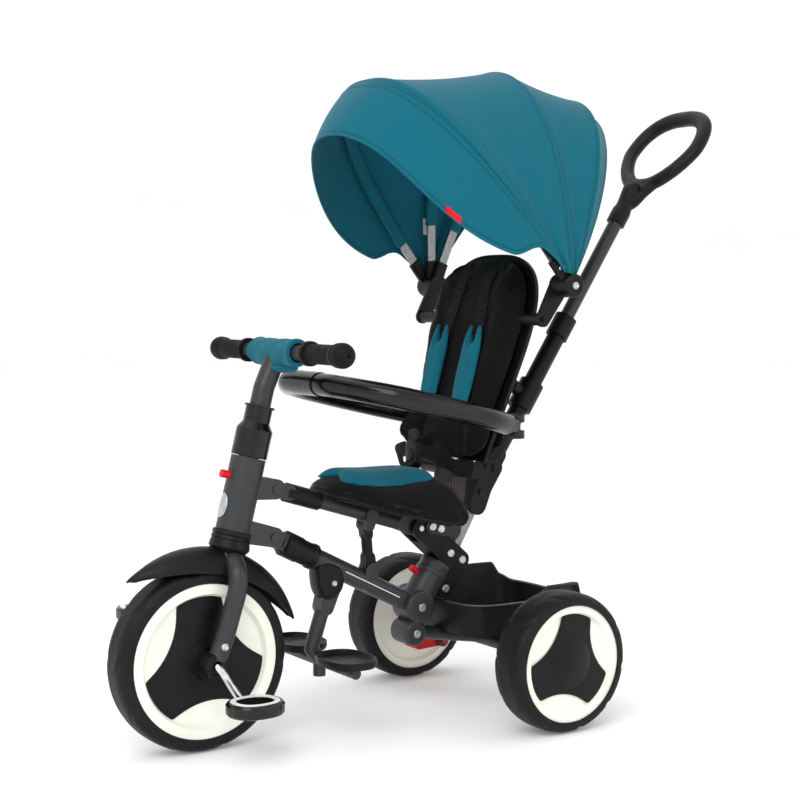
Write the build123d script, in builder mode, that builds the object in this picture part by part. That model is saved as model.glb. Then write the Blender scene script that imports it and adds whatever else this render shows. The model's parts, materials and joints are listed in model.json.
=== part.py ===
"""Children's push tricycle: folding frame, canopy, reclining seat, push pole.

X is the tricycle's left, -Y the way it drives, Z up; the floor is z = 0.
Inside this file the rear axle lies in the plane y = 0; save() moves each
piece back by AXLE_Y, so that the origin is under the middle of the whole.
"""
import os
from math import cos, hypot, pi, radians, sin

from build123d import *

os.makedirs("parts", exist_ok=True)

# Overall layout (mm) ---------------------------------------------------------
AXLE_Y = 87.0
WHEELBASE = 470.0
FRONT_R = 125.0
REAR_R = 100.0
REAR_TRACK = 394.0
FRONT_HALF = 27.0
REAR_HALF = 30.0

# Side-view points, (y, z) ----------------------------------------------------
FRONT_HUB = (-WHEELBASE, FRONT_R)
REAR_HUB = (0.0, REAR_R)
HEAD_LOW = (48.4 - WHEELBASE, 275.0)
HEAD_HIGH = (78.5 - WHEELBASE, 394.0)
COLLAR_TOP = (96.6 - WHEELBASE, 466.0)
STEM_BENDS = ((102.5 - WHEELBASE, 489.0), (118.0 - WHEELBASE, 524.0))
BAR_AT = (125.0 - WHEELBASE, 538.0)
LOWER_FRONT = (109.0 - WHEELBASE, 283.0)
UPPER_FRONT = (112.0 - WHEELBASE, 349.5)
LOWER_REAR = (-119.0, 160.0)
UPPER_REAR = (-117.0, 276.0)
STRUT_TOP = (-203.0, 285.5)
STRUT_LOW = (-197.5, 224.0)
SEAT_PIVOT = (-52.6, 361.7)
POLE_PIVOT = (16.5, 357.6)
POLE_TOP = (271.0, 742.0)
CANOPY_PIVOT = (27.6, 631.0)
ARM_PIVOT = (-2.0, 583.0)
BRAKE_PIVOT = (4.0, 73.0)

# Sections and fits -----------------------------------------------------------
RUN = 0.3
TINY = 0.05
HEAD_R = 24.0
STEERER_R = 14.0
LEG_R = 13.0
LEG_X = 45.0
LOWER_R = 14.5
UPPER_R = 10.5
TONGUE = 12.0
CHEEK = 19.0
PIN_R = 4.0
BOLT_HEAD_R = 6.0
HUB_R = 23.0
POLE_R = 14.0
POLE_TOP_R = 11.0
CRANK = 57.0
CRANK_LEAN = 31.5
PEDAL_X = 108.0
BACK_LEAN = 15.3
SEAT_SLOPE = 17.0
CANOPY_N = 2.45
CANOPY_WALL = 2.0
RING_R = 15.5
LOOP_R = 10.5

FRONT_RIM = FRONT_R - 19.7
REAR_RIM = REAR_R - 16.8


# Helpers ---------------------------------------------------------------------
def save(part, label):
    """Write one piece in the tricycle's own frame."""
    placed = Pos(0, AXLE_Y, 0) * part
    placed.label = label
    export_step(placed, f"parts/{label}.step")


def at(point, x=0.0):
    """Side-view point as a 3-D one."""
    return (x, point[0], point[1])


def toward(a, b, dist):
    """Point at a distance from a on the way to b, in the side view."""
    span = hypot(b[0] - a[0], b[1] - a[1])
    return (a[0] + (b[0] - a[0]) * dist / span, a[1] + (b[1] - a[1]) * dist / span)


def bar(a, b, radius, bore=0.0):
    """Round bar or tube between two 3-D points."""
    way = Vector(*b) - Vector(*a)
    low = (Align.CENTER, Align.CENTER, Align.MIN)
    with BuildPart(Plane(origin=a, z_dir=way)) as piece:
        Cylinder(radius, way.length, align=low)
        if bore:
            Cylinder(bore, way.length, align=low, mode=Mode.SUBTRACT)
    return piece.part


def pin(point, x0, x1, radius):
    """Cylinder along X through a side-view point."""
    return bar(at(point, x0), at(point, x1), radius)


def path_bar(points, radius):
    """Bent round bar through 3-D points, with ball corners."""
    with BuildPart() as piece:
        for a, b in zip(points, points[1:]):
            add(bar(a, b, radius))
        for p in points[1:-1]:
            with Locations(p):
                Sphere(radius)
    return piece.part


def link(p, q, r_p, r_q, x0, x1):
    """Flat link round two side-view points, from x0 to x1."""
    with BuildPart() as piece:
        with BuildSketch(Plane.YZ.offset(x0)):
            with Locations(p):
                Circle(r_p)
            with Locations(q):
                Circle(r_q)
            make_hull()
        extrude(amount=x1 - x0)
    return piece.part


def both_sides(part):
    """A piece and its mirror image in the middle plane, as two solids."""
    other = mirror(part, about=Plane.YZ)
    return group([*part.solids(), *other.solids()])


def group(pieces):
    """Separate solids that share one node."""
    return Compound([solid for piece in pieces for solid in piece.solids()])


def along(a, b, x=0.0):
    """Plane at side-view point a whose Z runs to b, its X along the tricycle's X."""
    return Plane(origin=at(a, x), x_dir=(1, 0, 0), z_dir=(0, b[0] - a[0], b[1] - a[1]))


def bolt_heads(points, x):
    """Domed bolt heads on both sides of a bracket whose faces are at +-x."""
    heads = []
    for p in points:
        for s in (-1, 1):
            with BuildPart(Plane(origin=at(p, s * x), z_dir=(s, 0, 0))) as head:
                Cylinder(BOLT_HEAD_R, 2.5, align=(Align.CENTER, Align.CENTER, Align.MIN))
                fillet(head.faces().sort_by(Axis.X)[-1 if s > 0 else 0].edges(), 1.2)
            heads.append(head.part)
    return heads


# Wheels ----------------------------------------------------------------------
def wheel_ring(points, hub, x):
    """Ring turned about the wheel's axle from an (x, r) outline."""
    with BuildPart() as piece:
        with BuildSketch(Plane.XZ):
            with BuildLine():
                Polyline(*points, close=True)
            make_face()
        revolve(axis=Axis.X)
    return Pos(x, hub[0], hub[1]) * piece.part


def tyre(hub, x, radius, half, rim):
    """Foam tyre with a rounded tread."""
    arc = [(half * sin(radians(a)), radius - 9 * (1 - cos(radians(a)))) for a in range(-84, 85, 12)]
    return wheel_ring([(-half, rim + TINY), *arc, (half, rim + TINY)], hub, x)


def rim(hub, x, rim_r, half, bore):
    """Plastic rim: raised flanges, a recessed disc each side and a hub tube."""
    step = 0.83 * rim_r
    outline = [(-half, rim_r), (-half, step + 4), (-half + 7, step), (-half + 7, 19), (-half - 1, 17),
               (-half - 1, bore), (half + 1, bore), (half + 1, 17), (half - 7, 19), (half - 7, step),
               (half, step + 4), (half, rim_r)]
    hollow = [(-half + 11, rim_r - 9), (half - 11, rim_r - 9), (half - 11, 24), (-half + 11, 24)]
    solid = wheel_ring(outline, hub, x)
    vents = Part()
    for k in range(3):
        a = radians(k * 120 + 30)
        r = 0.35 * rim_r
        vents += pin((hub[0] + r * cos(a), hub[1] + r * sin(a)), x - half - 2, x + half + 2, 5)
    return solid - wheel_ring(hollow, hub, x) - vents


def cover(hub, x0, x1, size, turn):
    """Three-lobed dust cover, from x0 to x1, with a hole over the hub."""
    pts = []
    for k in range(36):
        a = radians(k * 10)
        r = size * (0.82 + 0.18 * cos(3 * (a - radians(turn))))
        pts.append((hub[0] + r * cos(a), hub[1] + r * sin(a)))
    with BuildPart() as piece:
        with BuildSketch(Plane.YZ.offset(x0)):
            with BuildLine():
                Spline(*pts, periodic=True)
            make_face()
            with Locations(hub):
                Circle(19.5, mode=Mode.SUBTRACT)
        extrude(amount=x1 - x0)
    return piece.part


for side, name in ((1, "left"), (-1, "right")):
    wheel_x = side * REAR_TRACK / 2
    save(tyre(REAR_HUB, wheel_x, REAR_R, REAR_HALF, REAR_RIM), f"tyre_{name}")
    save(rim(REAR_HUB, wheel_x, REAR_RIM, REAR_HALF - 3, 5.3), f"rim_{name}")
    faces = sorted((wheel_x + side * (REAR_HALF - 10), wheel_x + side * (REAR_HALF - 7)))
    save(cover(REAR_HUB, *faces, 0.83 * REAR_RIM - 1, 80), f"cover_{name}")
save(tyre(FRONT_HUB, 0, FRONT_R, FRONT_HALF, FRONT_RIM), "tyre_front")
save(rim(FRONT_HUB, 0, FRONT_RIM, FRONT_HALF - 1, 6.3), "rim_front")
front_cover = cover(FRONT_HUB, FRONT_HALF - 8, FRONT_HALF - 5, 0.83 * FRONT_RIM - 1, 95)
save(both_sides(front_cover), "cover_front")

# Rear frame ------------------------------------------------------------------
SLEEVE_LOW = (-110.0, 172.5)
SLEEVE_TOP = (-81.0, 216.0)
KEEL = (-128.0, 122.0)
BRACKET = ((-66.0, 235.0), (-45.0, 223.5), (-75.0, 183.0))
PLATE_BOLTS = ((-101.0, 278.0), (-86.0, 273.6))
PLATE_BEND = (-62.0, 268.0)
PLATE_X = 19.0
PLATE_T = 3.5
AXLE_R = 5.0
AXLE_TUBE_R = 11.0
AXLE_TUBE_X = REAR_TRACK / 2 - REAR_HALF - 7.0
SPINE_R = 10.0
FOLD_R = 13.0
SOCKET_LOW = (-50.0, 240.0)
SOCKET_TOP = (-6.0, 316.0)
BUTTON_ROOT = (-107.2, 205.5)
BUTTON_FACE = (-121.3, 214.9)

with BuildPart() as hub_sleeve:
    add(bar(at(SLEEVE_LOW), at(SLEEVE_TOP), HUB_R))
    add(link(LOWER_REAR, SLEEVE_LOW, HUB_R, HUB_R, -HUB_R, HUB_R))
    add(link(LOWER_REAR, KEEL, HUB_R, 17, -HUB_R, HUB_R))
    add(pin(LOWER_REAR, -TONGUE - RUN, TONGUE + RUN, HUB_R + 1), mode=Mode.SUBTRACT)
    add(link(LOWER_REAR, (-210, 206), HUB_R + 1, 30, -TONGUE - RUN, TONGUE + RUN), mode=Mode.SUBTRACT)
    for aim in ((-60, 110), (-110, 60), (-150, 60)):
        add(link(KEEL, aim, FOLD_R + 1, FOLD_R + 6, -TONGUE - RUN, TONGUE + RUN), mode=Mode.SUBTRACT)
    for pivot in (LOWER_REAR, KEEL):
        add(pin(pivot, -HUB_R, HUB_R, PIN_R + TINY), mode=Mode.SUBTRACT)
    add(bar(at(BUTTON_ROOT), at(BUTTON_FACE), 5.0), mode=Mode.SUBTRACT)
save(hub_sleeve.part, "hub_sleeve")

sleeve_space = bar(at(toward(SLEEVE_LOW, SLEEVE_TOP, -40)), at(SLEEVE_TOP), HUB_R)
with BuildPart() as hub_bracket:
    add(link(UPPER_REAR, BRACKET[0], 15, 18, -CHEEK, CHEEK))
    add(link(BRACKET[0], BRACKET[1], 18, 13, -CHEEK, CHEEK))
    add(link(BRACKET[0], BRACKET[2], 18, 14, -CHEEK, CHEEK))
    add(link(BRACKET[1], BRACKET[2], 13, 14, -CHEEK, CHEEK))
    add(sleeve_space, mode=Mode.SUBTRACT)
    add(hub_sleeve.part, mode=Mode.SUBTRACT)
    add(link(UPPER_REAR, (-230, 230), 15.5, 75, -UPPER_R - RUN, UPPER_R + RUN), mode=Mode.SUBTRACT)
    add(pin(UPPER_REAR, -CHEEK, CHEEK, PIN_R + TINY), mode=Mode.SUBTRACT)
    add(bar(at(SOCKET_LOW), at(SOCKET_TOP), POLE_TOP_R), mode=Mode.SUBTRACT)
save(hub_bracket.part, "hub_bracket")

with BuildPart() as seat_plate:
    add(link(PLATE_BOLTS[0], PLATE_BEND, 10.6, 8.8, PLATE_X, PLATE_X + PLATE_T))
    add(link(PLATE_BEND, SEAT_PIVOT, 12, 14, PLATE_X, PLATE_X + PLATE_T))
    add(pin(SEAT_PIVOT, PLATE_X, PLATE_X + PLATE_T, PIN_R + TINY), mode=Mode.SUBTRACT)
save(both_sides(seat_plate.part), "seat_plates")

bolts = bolt_heads(PLATE_BOLTS, PLATE_X + PLATE_T) + bolt_heads(BRACKET, CHEEK)
bolts += bolt_heads([LOWER_REAR, KEEL], HUB_R)
bolts += [pin(pivot, -HUB_R, HUB_R, PIN_R) for pivot in (LOWER_REAR, KEEL)]
bolts += [pin(UPPER_REAR, -CHEEK, CHEEK, PIN_R), pin(SEAT_PIVOT, -59, 59, PIN_R)]
save(group(bolts), "frame_bolts")

SPINE = [at(toward(KEEL, REAR_HUB, 10)), at(REAR_HUB)]
with BuildPart() as rear_tubes:
    add(path_bar(SPINE, SPINE_R))
    add(pin(KEEL, -TONGUE, TONGUE, FOLD_R))
    add(bar((-AXLE_TUBE_X, 0, REAR_R), (AXLE_TUBE_X, 0, REAR_R), AXLE_TUBE_R))
    add(link((0, REAR_R), BRAKE_PIVOT, 11, 9, -102, -98))
    add(pin(KEEL, -TONGUE, TONGUE, PIN_R + TINY), mode=Mode.SUBTRACT)
    add(pin(REAR_HUB, -AXLE_TUBE_X, AXLE_TUBE_X, AXLE_R), mode=Mode.SUBTRACT)
    add(pin(BRAKE_PIVOT, -102, -98, PIN_R), mode=Mode.SUBTRACT)
save(rear_tubes.part, "rear_tubes")

with BuildPart() as rear_axle:
    wheel_edge = REAR_TRACK / 2 + REAR_HALF
    add(pin(REAR_HUB, -wheel_edge, wheel_edge, AXLE_R))
    for s in (-1, 1):
        add(pin(REAR_HUB, *sorted((s * (wheel_edge - 1.4), s * (wheel_edge + 4))), 9))
        add(pin(REAR_HUB, *sorted((s * AXLE_TUBE_X, s * (REAR_TRACK / 2 - REAR_HALF + 1.4))), 9))
save(rear_axle.part, "rear_axle")

# Basket ----------------------------------------------------------------------
BASKET_FRONT = -84.0
BASKET_REAR = 124.0
BASKET_FLOOR = 121.5
BASKET_RIM = 170.0
BASKET_HALF = 104.0
BASKET_WALL = 3.0


def basket_shape(inset, floor):
    """Tapered basket body, inset by the wall where it is the hollow."""
    with BuildPart() as piece:
        for z, grow in ((floor, -6.0), (BASKET_RIM + 24, 4.0)):
            with BuildSketch(Plane.XY.offset(z)):
                with Locations((0, (BASKET_FRONT + BASKET_REAR) / 2)):
                    RectangleRounded(2 * (BASKET_HALF + grow - inset),
                                     BASKET_REAR - BASKET_FRONT + 2 * (grow - inset), 30 - inset)
        loft(ruled=True)
    return piece.part


with BuildPart() as basket:
    add(basket_shape(0, BASKET_FLOOR))
    with BuildSketch(Plane.YZ.offset(-150)):
        with BuildLine():
            Polyline((-150, BASKET_RIM), (30, BASKET_RIM - 3), (48, BASKET_RIM + 14),
                     (100, BASKET_RIM + 19), (116, BASKET_RIM - 6), (118, 146), (160, 146),
                     (160, 260), (-150, 260), close=True)
        make_face()
    extrude(amount=300, mode=Mode.SUBTRACT)
    with BuildSketch(Plane.XY.offset(BASKET_RIM - 3)):
        with Locations((0, 100)):
            Rectangle(120, 120)
    extrude(amount=60, mode=Mode.SUBTRACT)
    add(basket_shape(BASKET_WALL, BASKET_FLOOR + BASKET_WALL), mode=Mode.SUBTRACT)
    add(bar(at(toward(SLEEVE_LOW, SLEEVE_TOP, -60)), at(SLEEVE_TOP), HUB_R + 0.5), mode=Mode.SUBTRACT)
    add(hub_sleeve.part, mode=Mode.SUBTRACT)
    add(hub_bracket.part, mode=Mode.SUBTRACT)
    add(path_bar(SPINE, SPINE_R + 0.5), mode=Mode.SUBTRACT)
save(basket.part, "basket")

# Seat ------------------------------------------------------------------------
SEAT_HALF = 117.0
SEAT_FRONT = -282.0
SEAT_REAR = -84.0
SEAT_TOP = 358.0
PAN_REAR_Z = 284.0
PAN_T = 4.0
seat_plane = Plane(origin=(0, SEAT_REAR, PAN_REAR_Z), x_dir=(1, 0, 0),
                   z_dir=(0, sin(radians(SEAT_SLOPE)), cos(radians(SEAT_SLOPE))))


def seat_outline(scale):
    """Seat seen from above, from one rear corner round the front to the other."""
    right = [(SEAT_HALF - 34, SEAT_REAR), (SEAT_HALF - 6, -112), (SEAT_HALF, -158),
             (102, SEAT_FRONT + 62), (62, SEAT_FRONT + 16), (0, SEAT_FRONT)]
    pts = right + [(-x, y) for x, y in reversed(right[:-1])]
    return [(x * scale, -165 + (y + 165) * scale) for x, y in pts]


def seat_solid(scale, low, high):
    """The outline from one height above the sloping pan plane up to another, or to the top."""
    with BuildPart() as piece:
        with BuildSketch(Plane.XY.offset(PAN_REAR_Z - 20)):
            with BuildLine():
                pts = seat_outline(scale)
                Spline(*pts)
                Line(pts[-1], pts[0])
            make_face()
        extrude(amount=SEAT_TOP - PAN_REAR_Z + 20)
        with BuildSketch(seat_plane.offset(low)):
            Rectangle(400, 700)
        extrude(amount=-200, mode=Mode.SUBTRACT)
        if high:
            with BuildSketch(seat_plane.offset(high)):
                Rectangle(400, 700)
            extrude(amount=200, mode=Mode.SUBTRACT)
    return piece.part


save(seat_solid(0.93, 0, PAN_T), "seat_pan")
save(seat_solid(1.0, PAN_T + TINY, 0), "seat_cushion")

with BuildPart() as buckle:
    with Locations((0, -118, SEAT_TOP + 2)):
        Box(40, 34, 4)
    with Locations((0, -112, SEAT_TOP + 24)):
        Box(34, 12, 44)
save(buckle.part, "buckle")

# Lower boom and footrest -----------------------------------------------------
BOOM_GAP = 20.0
SLEEVE_FROM = 24.0
SLEEVE_TO = 80.0
FOOT_ROOT = toward(LOWER_FRONT, LOWER_REAR, 92.0)
FOOT_PIVOT = (FOOT_ROOT[0] + 13.0, FOOT_ROOT[1] - 44.3)
FOOT_LOW = (FOOT_PIVOT[0] - 27.0, 116.0)
FOOT_Z = 112.0
FOOT_INNER = 20.0
FOOT_OUTER = 116.0
FOOT_LONG = 70.0
FOOT_MID = FOOT_PIVOT[0] - 11.0
STRUT_X = 8.0

boom_strut = (STRUT_LOW[0] - 5.0, 202.0)
with BuildPart() as lower_boom:
    add(bar(at(toward(LOWER_FRONT, LOWER_REAR, BOOM_GAP)),
            at(toward(LOWER_REAR, LOWER_FRONT, 27)), LOWER_R))
    add(link(LOWER_FRONT, toward(LOWER_FRONT, LOWER_REAR, 26), 12, 12, -TONGUE, TONGUE))
    add(link(LOWER_REAR, toward(LOWER_REAR, LOWER_FRONT, 32), 15, 12, -TONGUE, TONGUE))
    add(link(boom_strut, STRUT_LOW, 12, 8, -STRUT_X - 5, STRUT_X + 5))
    add(link(STRUT_LOW, toward(STRUT_LOW, STRUT_TOP, 30), 11, 16, -STRUT_X - RUN, STRUT_X + RUN),
        mode=Mode.SUBTRACT)
    add(pin(LOWER_FRONT, -TONGUE, TONGUE, PIN_R + TINY), mode=Mode.SUBTRACT)
    add(pin(LOWER_REAR, -TONGUE, TONGUE, PIN_R + TINY), mode=Mode.SUBTRACT)
    add(pin(STRUT_LOW, -STRUT_X - 5, STRUT_X + 5, PIN_R))
save(lower_boom.part, "lower_boom")

with BuildPart() as boom_fittings:
    add(bar(at(toward(LOWER_FRONT, LOWER_REAR, SLEEVE_FROM)),
            at(toward(LOWER_FRONT, LOWER_REAR, 122)), LOWER_R + 2.5))
    add(link(FOOT_ROOT, FOOT_PIVOT, 18, 14, -17, 17))
    add(link(FOOT_PIVOT, (FOOT_PIVOT[0] - 6, 130), 15, 40, -TONGUE - RUN, TONGUE + RUN), mode=Mode.SUBTRACT)
    add(bar(at(LOWER_FRONT), at(LOWER_REAR), LOWER_R), mode=Mode.SUBTRACT)
    add(link(LOWER_FRONT, toward(LOWER_FRONT, LOWER_REAR, 26), 12, 12, -TONGUE, TONGUE),
        mode=Mode.SUBTRACT)
    add(pin(FOOT_PIVOT, -17, 17, PIN_R))
save(boom_fittings.part, "boom_fittings")

foot_top = toward(FOOT_PIVOT, FOOT_LOW, 24)
with BuildPart() as footrest:
    add(link(FOOT_PIVOT, foot_top, 13, 11, -TONGUE, TONGUE))
    add(path_bar([at(foot_top), at(FOOT_LOW), at((FOOT_MID - 3, 100))], 10.5))
    add(pin((FOOT_MID - 5, FOOT_Z - 13.6), -FOOT_OUTER + 12, FOOT_OUTER - 12, 7.5))
    add(bar((0, FOOT_MID - 3, 76), (0, FOOT_MID - 3, 98), 9))
    add(pin(FOOT_PIVOT, -TONGUE, TONGUE, PIN_R + TINY), mode=Mode.SUBTRACT)
save(footrest.part, "footrest")

with BuildPart() as foot_plate:
    with BuildSketch(Plane.XY.offset(FOOT_Z - 6)):
        with Locations(((FOOT_INNER + FOOT_OUTER) / 2, FOOT_MID)):
            RectangleRounded(FOOT_OUTER - FOOT_INNER, FOOT_LONG, 30)
            with GridLocations(0, 17, 1, 3):
                SlotOverall(60, 7, mode=Mode.SUBTRACT)
    extrude(amount=6)
save(both_sides(foot_plate.part), "foot_plates")

# Upper boom and strut --------------------------------------------------------
boom_hang = (STRUT_TOP[0] + 4.5, 301.0)
with BuildPart() as upper_boom:
    add(bar(at(toward(UPPER_FRONT, UPPER_REAR, 16)), at(toward(UPPER_REAR, UPPER_FRONT, 16)), UPPER_R))
    add(link(UPPER_FRONT, toward(UPPER_FRONT, UPPER_REAR, 26), 12, 10.5, -TONGUE, TONGUE))
    add(link(UPPER_REAR, toward(UPPER_REAR, UPPER_FRONT, 26), 13, 10.5, -UPPER_R, UPPER_R))
    add(link(boom_hang, STRUT_TOP, 9.5, 8, -STRUT_X - 5, STRUT_X + 5))
    add(link(STRUT_TOP, (-205, 250), 9, 30, -STRUT_X - RUN, STRUT_X + RUN), mode=Mode.SUBTRACT)
    add(pin(UPPER_FRONT, -TONGUE, TONGUE, PIN_R + TINY), mode=Mode.SUBTRACT)
    add(pin(UPPER_REAR, -UPPER_R, UPPER_R, PIN_R + TINY), mode=Mode.SUBTRACT)
    add(pin(STRUT_TOP, -STRUT_X - 5, STRUT_X + 5, PIN_R))
save(upper_boom.part, "upper_boom")

with BuildPart() as upper_sleeve:
    add(bar(at(toward(UPPER_FRONT, UPPER_REAR, SLEEVE_FROM)),
            at(toward(UPPER_FRONT, UPPER_REAR, SLEEVE_TO)), UPPER_R + 3))
    add(bar(at(UPPER_FRONT), at(UPPER_REAR), UPPER_R), mode=Mode.SUBTRACT)
    add(link(UPPER_FRONT, toward(UPPER_FRONT, UPPER_REAR, 26), 12, 10.5, -TONGUE, TONGUE),
        mode=Mode.SUBTRACT)
save(upper_sleeve.part, "upper_sleeve")

with BuildPart() as strut:
    add(link(STRUT_TOP, toward(STRUT_TOP, STRUT_LOW, 14), 8, 7, -STRUT_X, STRUT_X))
    add(bar(at(toward(STRUT_TOP, STRUT_LOW, 12)), at(toward(STRUT_LOW, STRUT_TOP, 13)), 8))
    add(link(STRUT_LOW, toward(STRUT_LOW, STRUT_TOP, 15), 9, 8, -STRUT_X, STRUT_X))
    for pivot in (STRUT_TOP, STRUT_LOW):
        add(pin(pivot, -STRUT_X, STRUT_X, PIN_R + TINY), mode=Mode.SUBTRACT)
save(strut.part, "strut")

# Head ------------------------------------------------------------------------
KNOB_AT = toward(HEAD_LOW, HEAD_HIGH, 94)
KNOB_WAY = (-0.9694, 0.2453)


def knob_point(dist):
    """Point on the clutch knob's axis, at a distance from the steering axis."""
    return (KNOB_AT[0] + KNOB_WAY[0] * dist, KNOB_AT[1] + KNOB_WAY[1] * dist)


with BuildPart() as head_tube:
    add(bar(at(HEAD_LOW), at(HEAD_HIGH), HEAD_R))
    for pivot, height in ((LOWER_FRONT, 23), (UPPER_FRONT, 82)):
        add(link(toward(HEAD_LOW, HEAD_HIGH, height), pivot, 17, 14, -18, 18))
    for pivot, aim in ((LOWER_FRONT, LOWER_REAR), (UPPER_FRONT, UPPER_REAR)):
        add(link(pivot, toward(pivot, aim, 60), 15, 15, -TONGUE - RUN, TONGUE + RUN), mode=Mode.SUBTRACT)
        add(link(pivot, (pivot[0] + 60, pivot[1] + 25), 15, 15, -TONGUE - RUN, TONGUE + RUN),
            mode=Mode.SUBTRACT)
    add(bar(at(HEAD_LOW), at(HEAD_HIGH), STEERER_R + RUN), mode=Mode.SUBTRACT)
    add(bar(at(knob_point(10)), at(knob_point(40)), 5.5 + TINY), mode=Mode.SUBTRACT)
    for pivot in (LOWER_FRONT, UPPER_FRONT):
        add(pin(pivot, -18, 18, PIN_R))
        for s in (-1, 1):
            add(pin(pivot, *sorted((s * 17.9, s * 20.5)), BOLT_HEAD_R))
save(head_tube.part, "head_tube")
save(bar(at(knob_point(21)), at(knob_point(36)), 5.5), "clutch_knob")

# Steering: fork, fender, stem and bars ---------------------------------------
LEG_TOP = (43.5 - WHEELBASE, 258.0)
LEG_BEND = (36.0 - WHEELBASE, 222.0)
CRANK_X = 60.0
CRANK_T = 7.0

head_frame = along(HEAD_LOW, HEAD_HIGH)
with BuildPart(head_frame) as crown:
    with Locations((0, 0, -13.5)):
        Cylinder(25, 25)
    with Locations((0, 0, -17)):
        Box(2 * LEG_X + 20, 28, 16)
with BuildPart() as fork:
    add(crown.part)
    add(bar(at(toward(HEAD_LOW, HEAD_HIGH, -4)), at(toward(HEAD_LOW, HEAD_HIGH, 127)), STEERER_R))
    for s in (-1, 1):
        hub_end = at(toward(FRONT_HUB, LEG_BEND, 10), s * LEG_X)
        add(path_bar([at(LEG_TOP, s * LEG_X), at(LEG_BEND, s * LEG_X), hub_end], LEG_R))
        add(pin(FRONT_HUB, *sorted((s * (LEG_X - 11), s * (LEG_X + 9))), 16))
    add(pin(FRONT_HUB, -LEG_X - 10, LEG_X + 10, 6 + RUN), mode=Mode.SUBTRACT)

FENDER_R = FRONT_R + 25.0
FENDER = [(-36, -12), (-34, -4), (-22, 0), (22, 0), (34, -4), (36, -12), (33.5, -12),
          (31.8, -6), (21, -2.6), (-21, -2.6), (-31.8, -6), (-33.5, -12)]
FENDER_START = 16.0
FENDER_SPAN = 111.0


def radial_plane(point, angle):
    """Plane through an axle along X, whose Y points out at an angle above the rear."""
    a = radians(angle)
    return Plane(origin=at(point), x_dir=(1, 0, 0), z_dir=(0, -sin(a), cos(a)))


with BuildPart() as fender:
    with BuildSketch(radial_plane(FRONT_HUB, FENDER_START)):
        with BuildLine():
            Polyline(*[(x, FENDER_R + r) for x, r in FENDER], close=True)
        make_face()
    revolve(axis=Axis(at(FRONT_HUB), (1, 0, 0)), revolution_arc=FENDER_SPAN)
    for s in (-1, 1):
        leg = [at(p, s * LEG_X) for p in (toward(LEG_TOP, LEG_BEND, -30), LEG_BEND, FRONT_HUB)]
        add(path_bar(leg, LEG_R + 0.4), mode=Mode.SUBTRACT)
save(fender.part, "fender")
save(fork.part - fender.part, "fork")

STEM_R = 14.5
BAR_R = 11.0
GRIP_IN = 84.0
GRIP_BULB = 171.0
PAD_HALF = 56.0
with BuildPart() as handlebar:
    stem_foot = toward(HEAD_LOW, HEAD_HIGH, 127.2)
    add(path_bar([at(p) for p in (stem_foot, *STEM_BENDS, BAR_AT)], STEM_R))
    add(pin(BAR_AT, -GRIP_BULB, GRIP_BULB, BAR_R))
save(handlebar.part, "handlebar")

with BuildPart(along(HEAD_HIGH, COLLAR_TOP)) as collar_body:
    up = (Align.CENTER, Align.CENTER, Align.MIN)
    with Locations((0, 0, 1)):
        Cylinder(25, 38, align=up)
    with Locations((0, 0, 39)):
        Cone(25, 18.5, 10, align=up)
    with Locations((0, 0, 49)):
        Cylinder(18.5, 21, align=up)
    with Locations((0, 0, 70)):
        Cylinder(21, 2.5, align=up)
with BuildPart() as collar:
    add(collar_body.part)
    add(bar(at(HEAD_LOW), at(toward(HEAD_LOW, HEAD_HIGH, 127)), STEERER_R), mode=Mode.SUBTRACT)
    add(handlebar.part, mode=Mode.SUBTRACT)
save(collar.part, "collar")

GRIP_R = BAR_R + 2.0
BALL_R = GRIP_R + 4.0
with BuildPart() as grip:
    with BuildSketch(Plane.XY):
        with BuildLine():
            neck = GRIP_BULB - (BALL_R**2 - GRIP_R**2) ** 0.5
            Polyline((GRIP_BULB + BALL_R, 0), (GRIP_BULB, 0), (GRIP_BULB, BAR_R), (GRIP_IN, BAR_R),
                     (GRIP_IN, BALL_R), (GRIP_IN + 7, BALL_R), (GRIP_IN + 7, GRIP_R), (neck, GRIP_R))
            ThreePointArc((neck, GRIP_R), (GRIP_BULB, BALL_R), (GRIP_BULB + BALL_R, 0))
        make_face()
    revolve(axis=Axis.X)
save(both_sides(Pos(0, *BAR_AT) * grip.part), "grips")

with BuildPart() as bar_pad:
    add(pin(BAR_AT, -PAD_HALF, PAD_HALF, BAR_R + 8.5))
    with Locations((0, BAR_AT[0] - 3, BAR_AT[1] - 20)):
        Box(70, 38, 18)
    add(pin(BAR_AT, -PAD_HALF, PAD_HALF, BAR_R), mode=Mode.SUBTRACT)
    add(handlebar.part, mode=Mode.SUBTRACT)
save(bar_pad.part, "bar_pad")

# Cranks and pedals -----------------------------------------------------------
PEDAL_LONG = 78.0
PEDAL_WIDE = 66.0
PEDAL_T = 20.0
PEDAL_AXLE_R = 5.0
lean = radians(CRANK_LEAN)
pedal_at = {s: (FRONT_HUB[0] + s * CRANK * sin(lean), FRONT_HUB[1] - s * CRANK * cos(lean)) for s in (-1, 1)}
with BuildPart() as cranks:
    add(pin(FRONT_HUB, -CRANK_X - CRANK_T, CRANK_X + CRANK_T, 6))
    for s in (-1, 1):
        add(link(FRONT_HUB, pedal_at[s], 11, 8, *sorted((s * CRANK_X, s * (CRANK_X + CRANK_T)))))
        add(pin(pedal_at[s], *sorted((s * CRANK_X, s * (PEDAL_X + 20))), PEDAL_AXLE_R))
save(cranks.part, "cranks")

for s, name in ((1, "left"), (-1, "right")):
    with BuildPart() as pedal:
        with BuildSketch(Plane.XY.offset(pedal_at[s][1] - PEDAL_T / 2)):
            with Locations((s * PEDAL_X, pedal_at[s][0])):
                RectangleRounded(PEDAL_WIDE, PEDAL_LONG, 26)
        extrude(amount=PEDAL_T)
        add(pin(pedal_at[s], *sorted((s * 60, s * (PEDAL_X + 20))), PEDAL_AXLE_R + TINY), mode=Mode.SUBTRACT)
    save(pedal.part, f"pedal_{name}")

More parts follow.
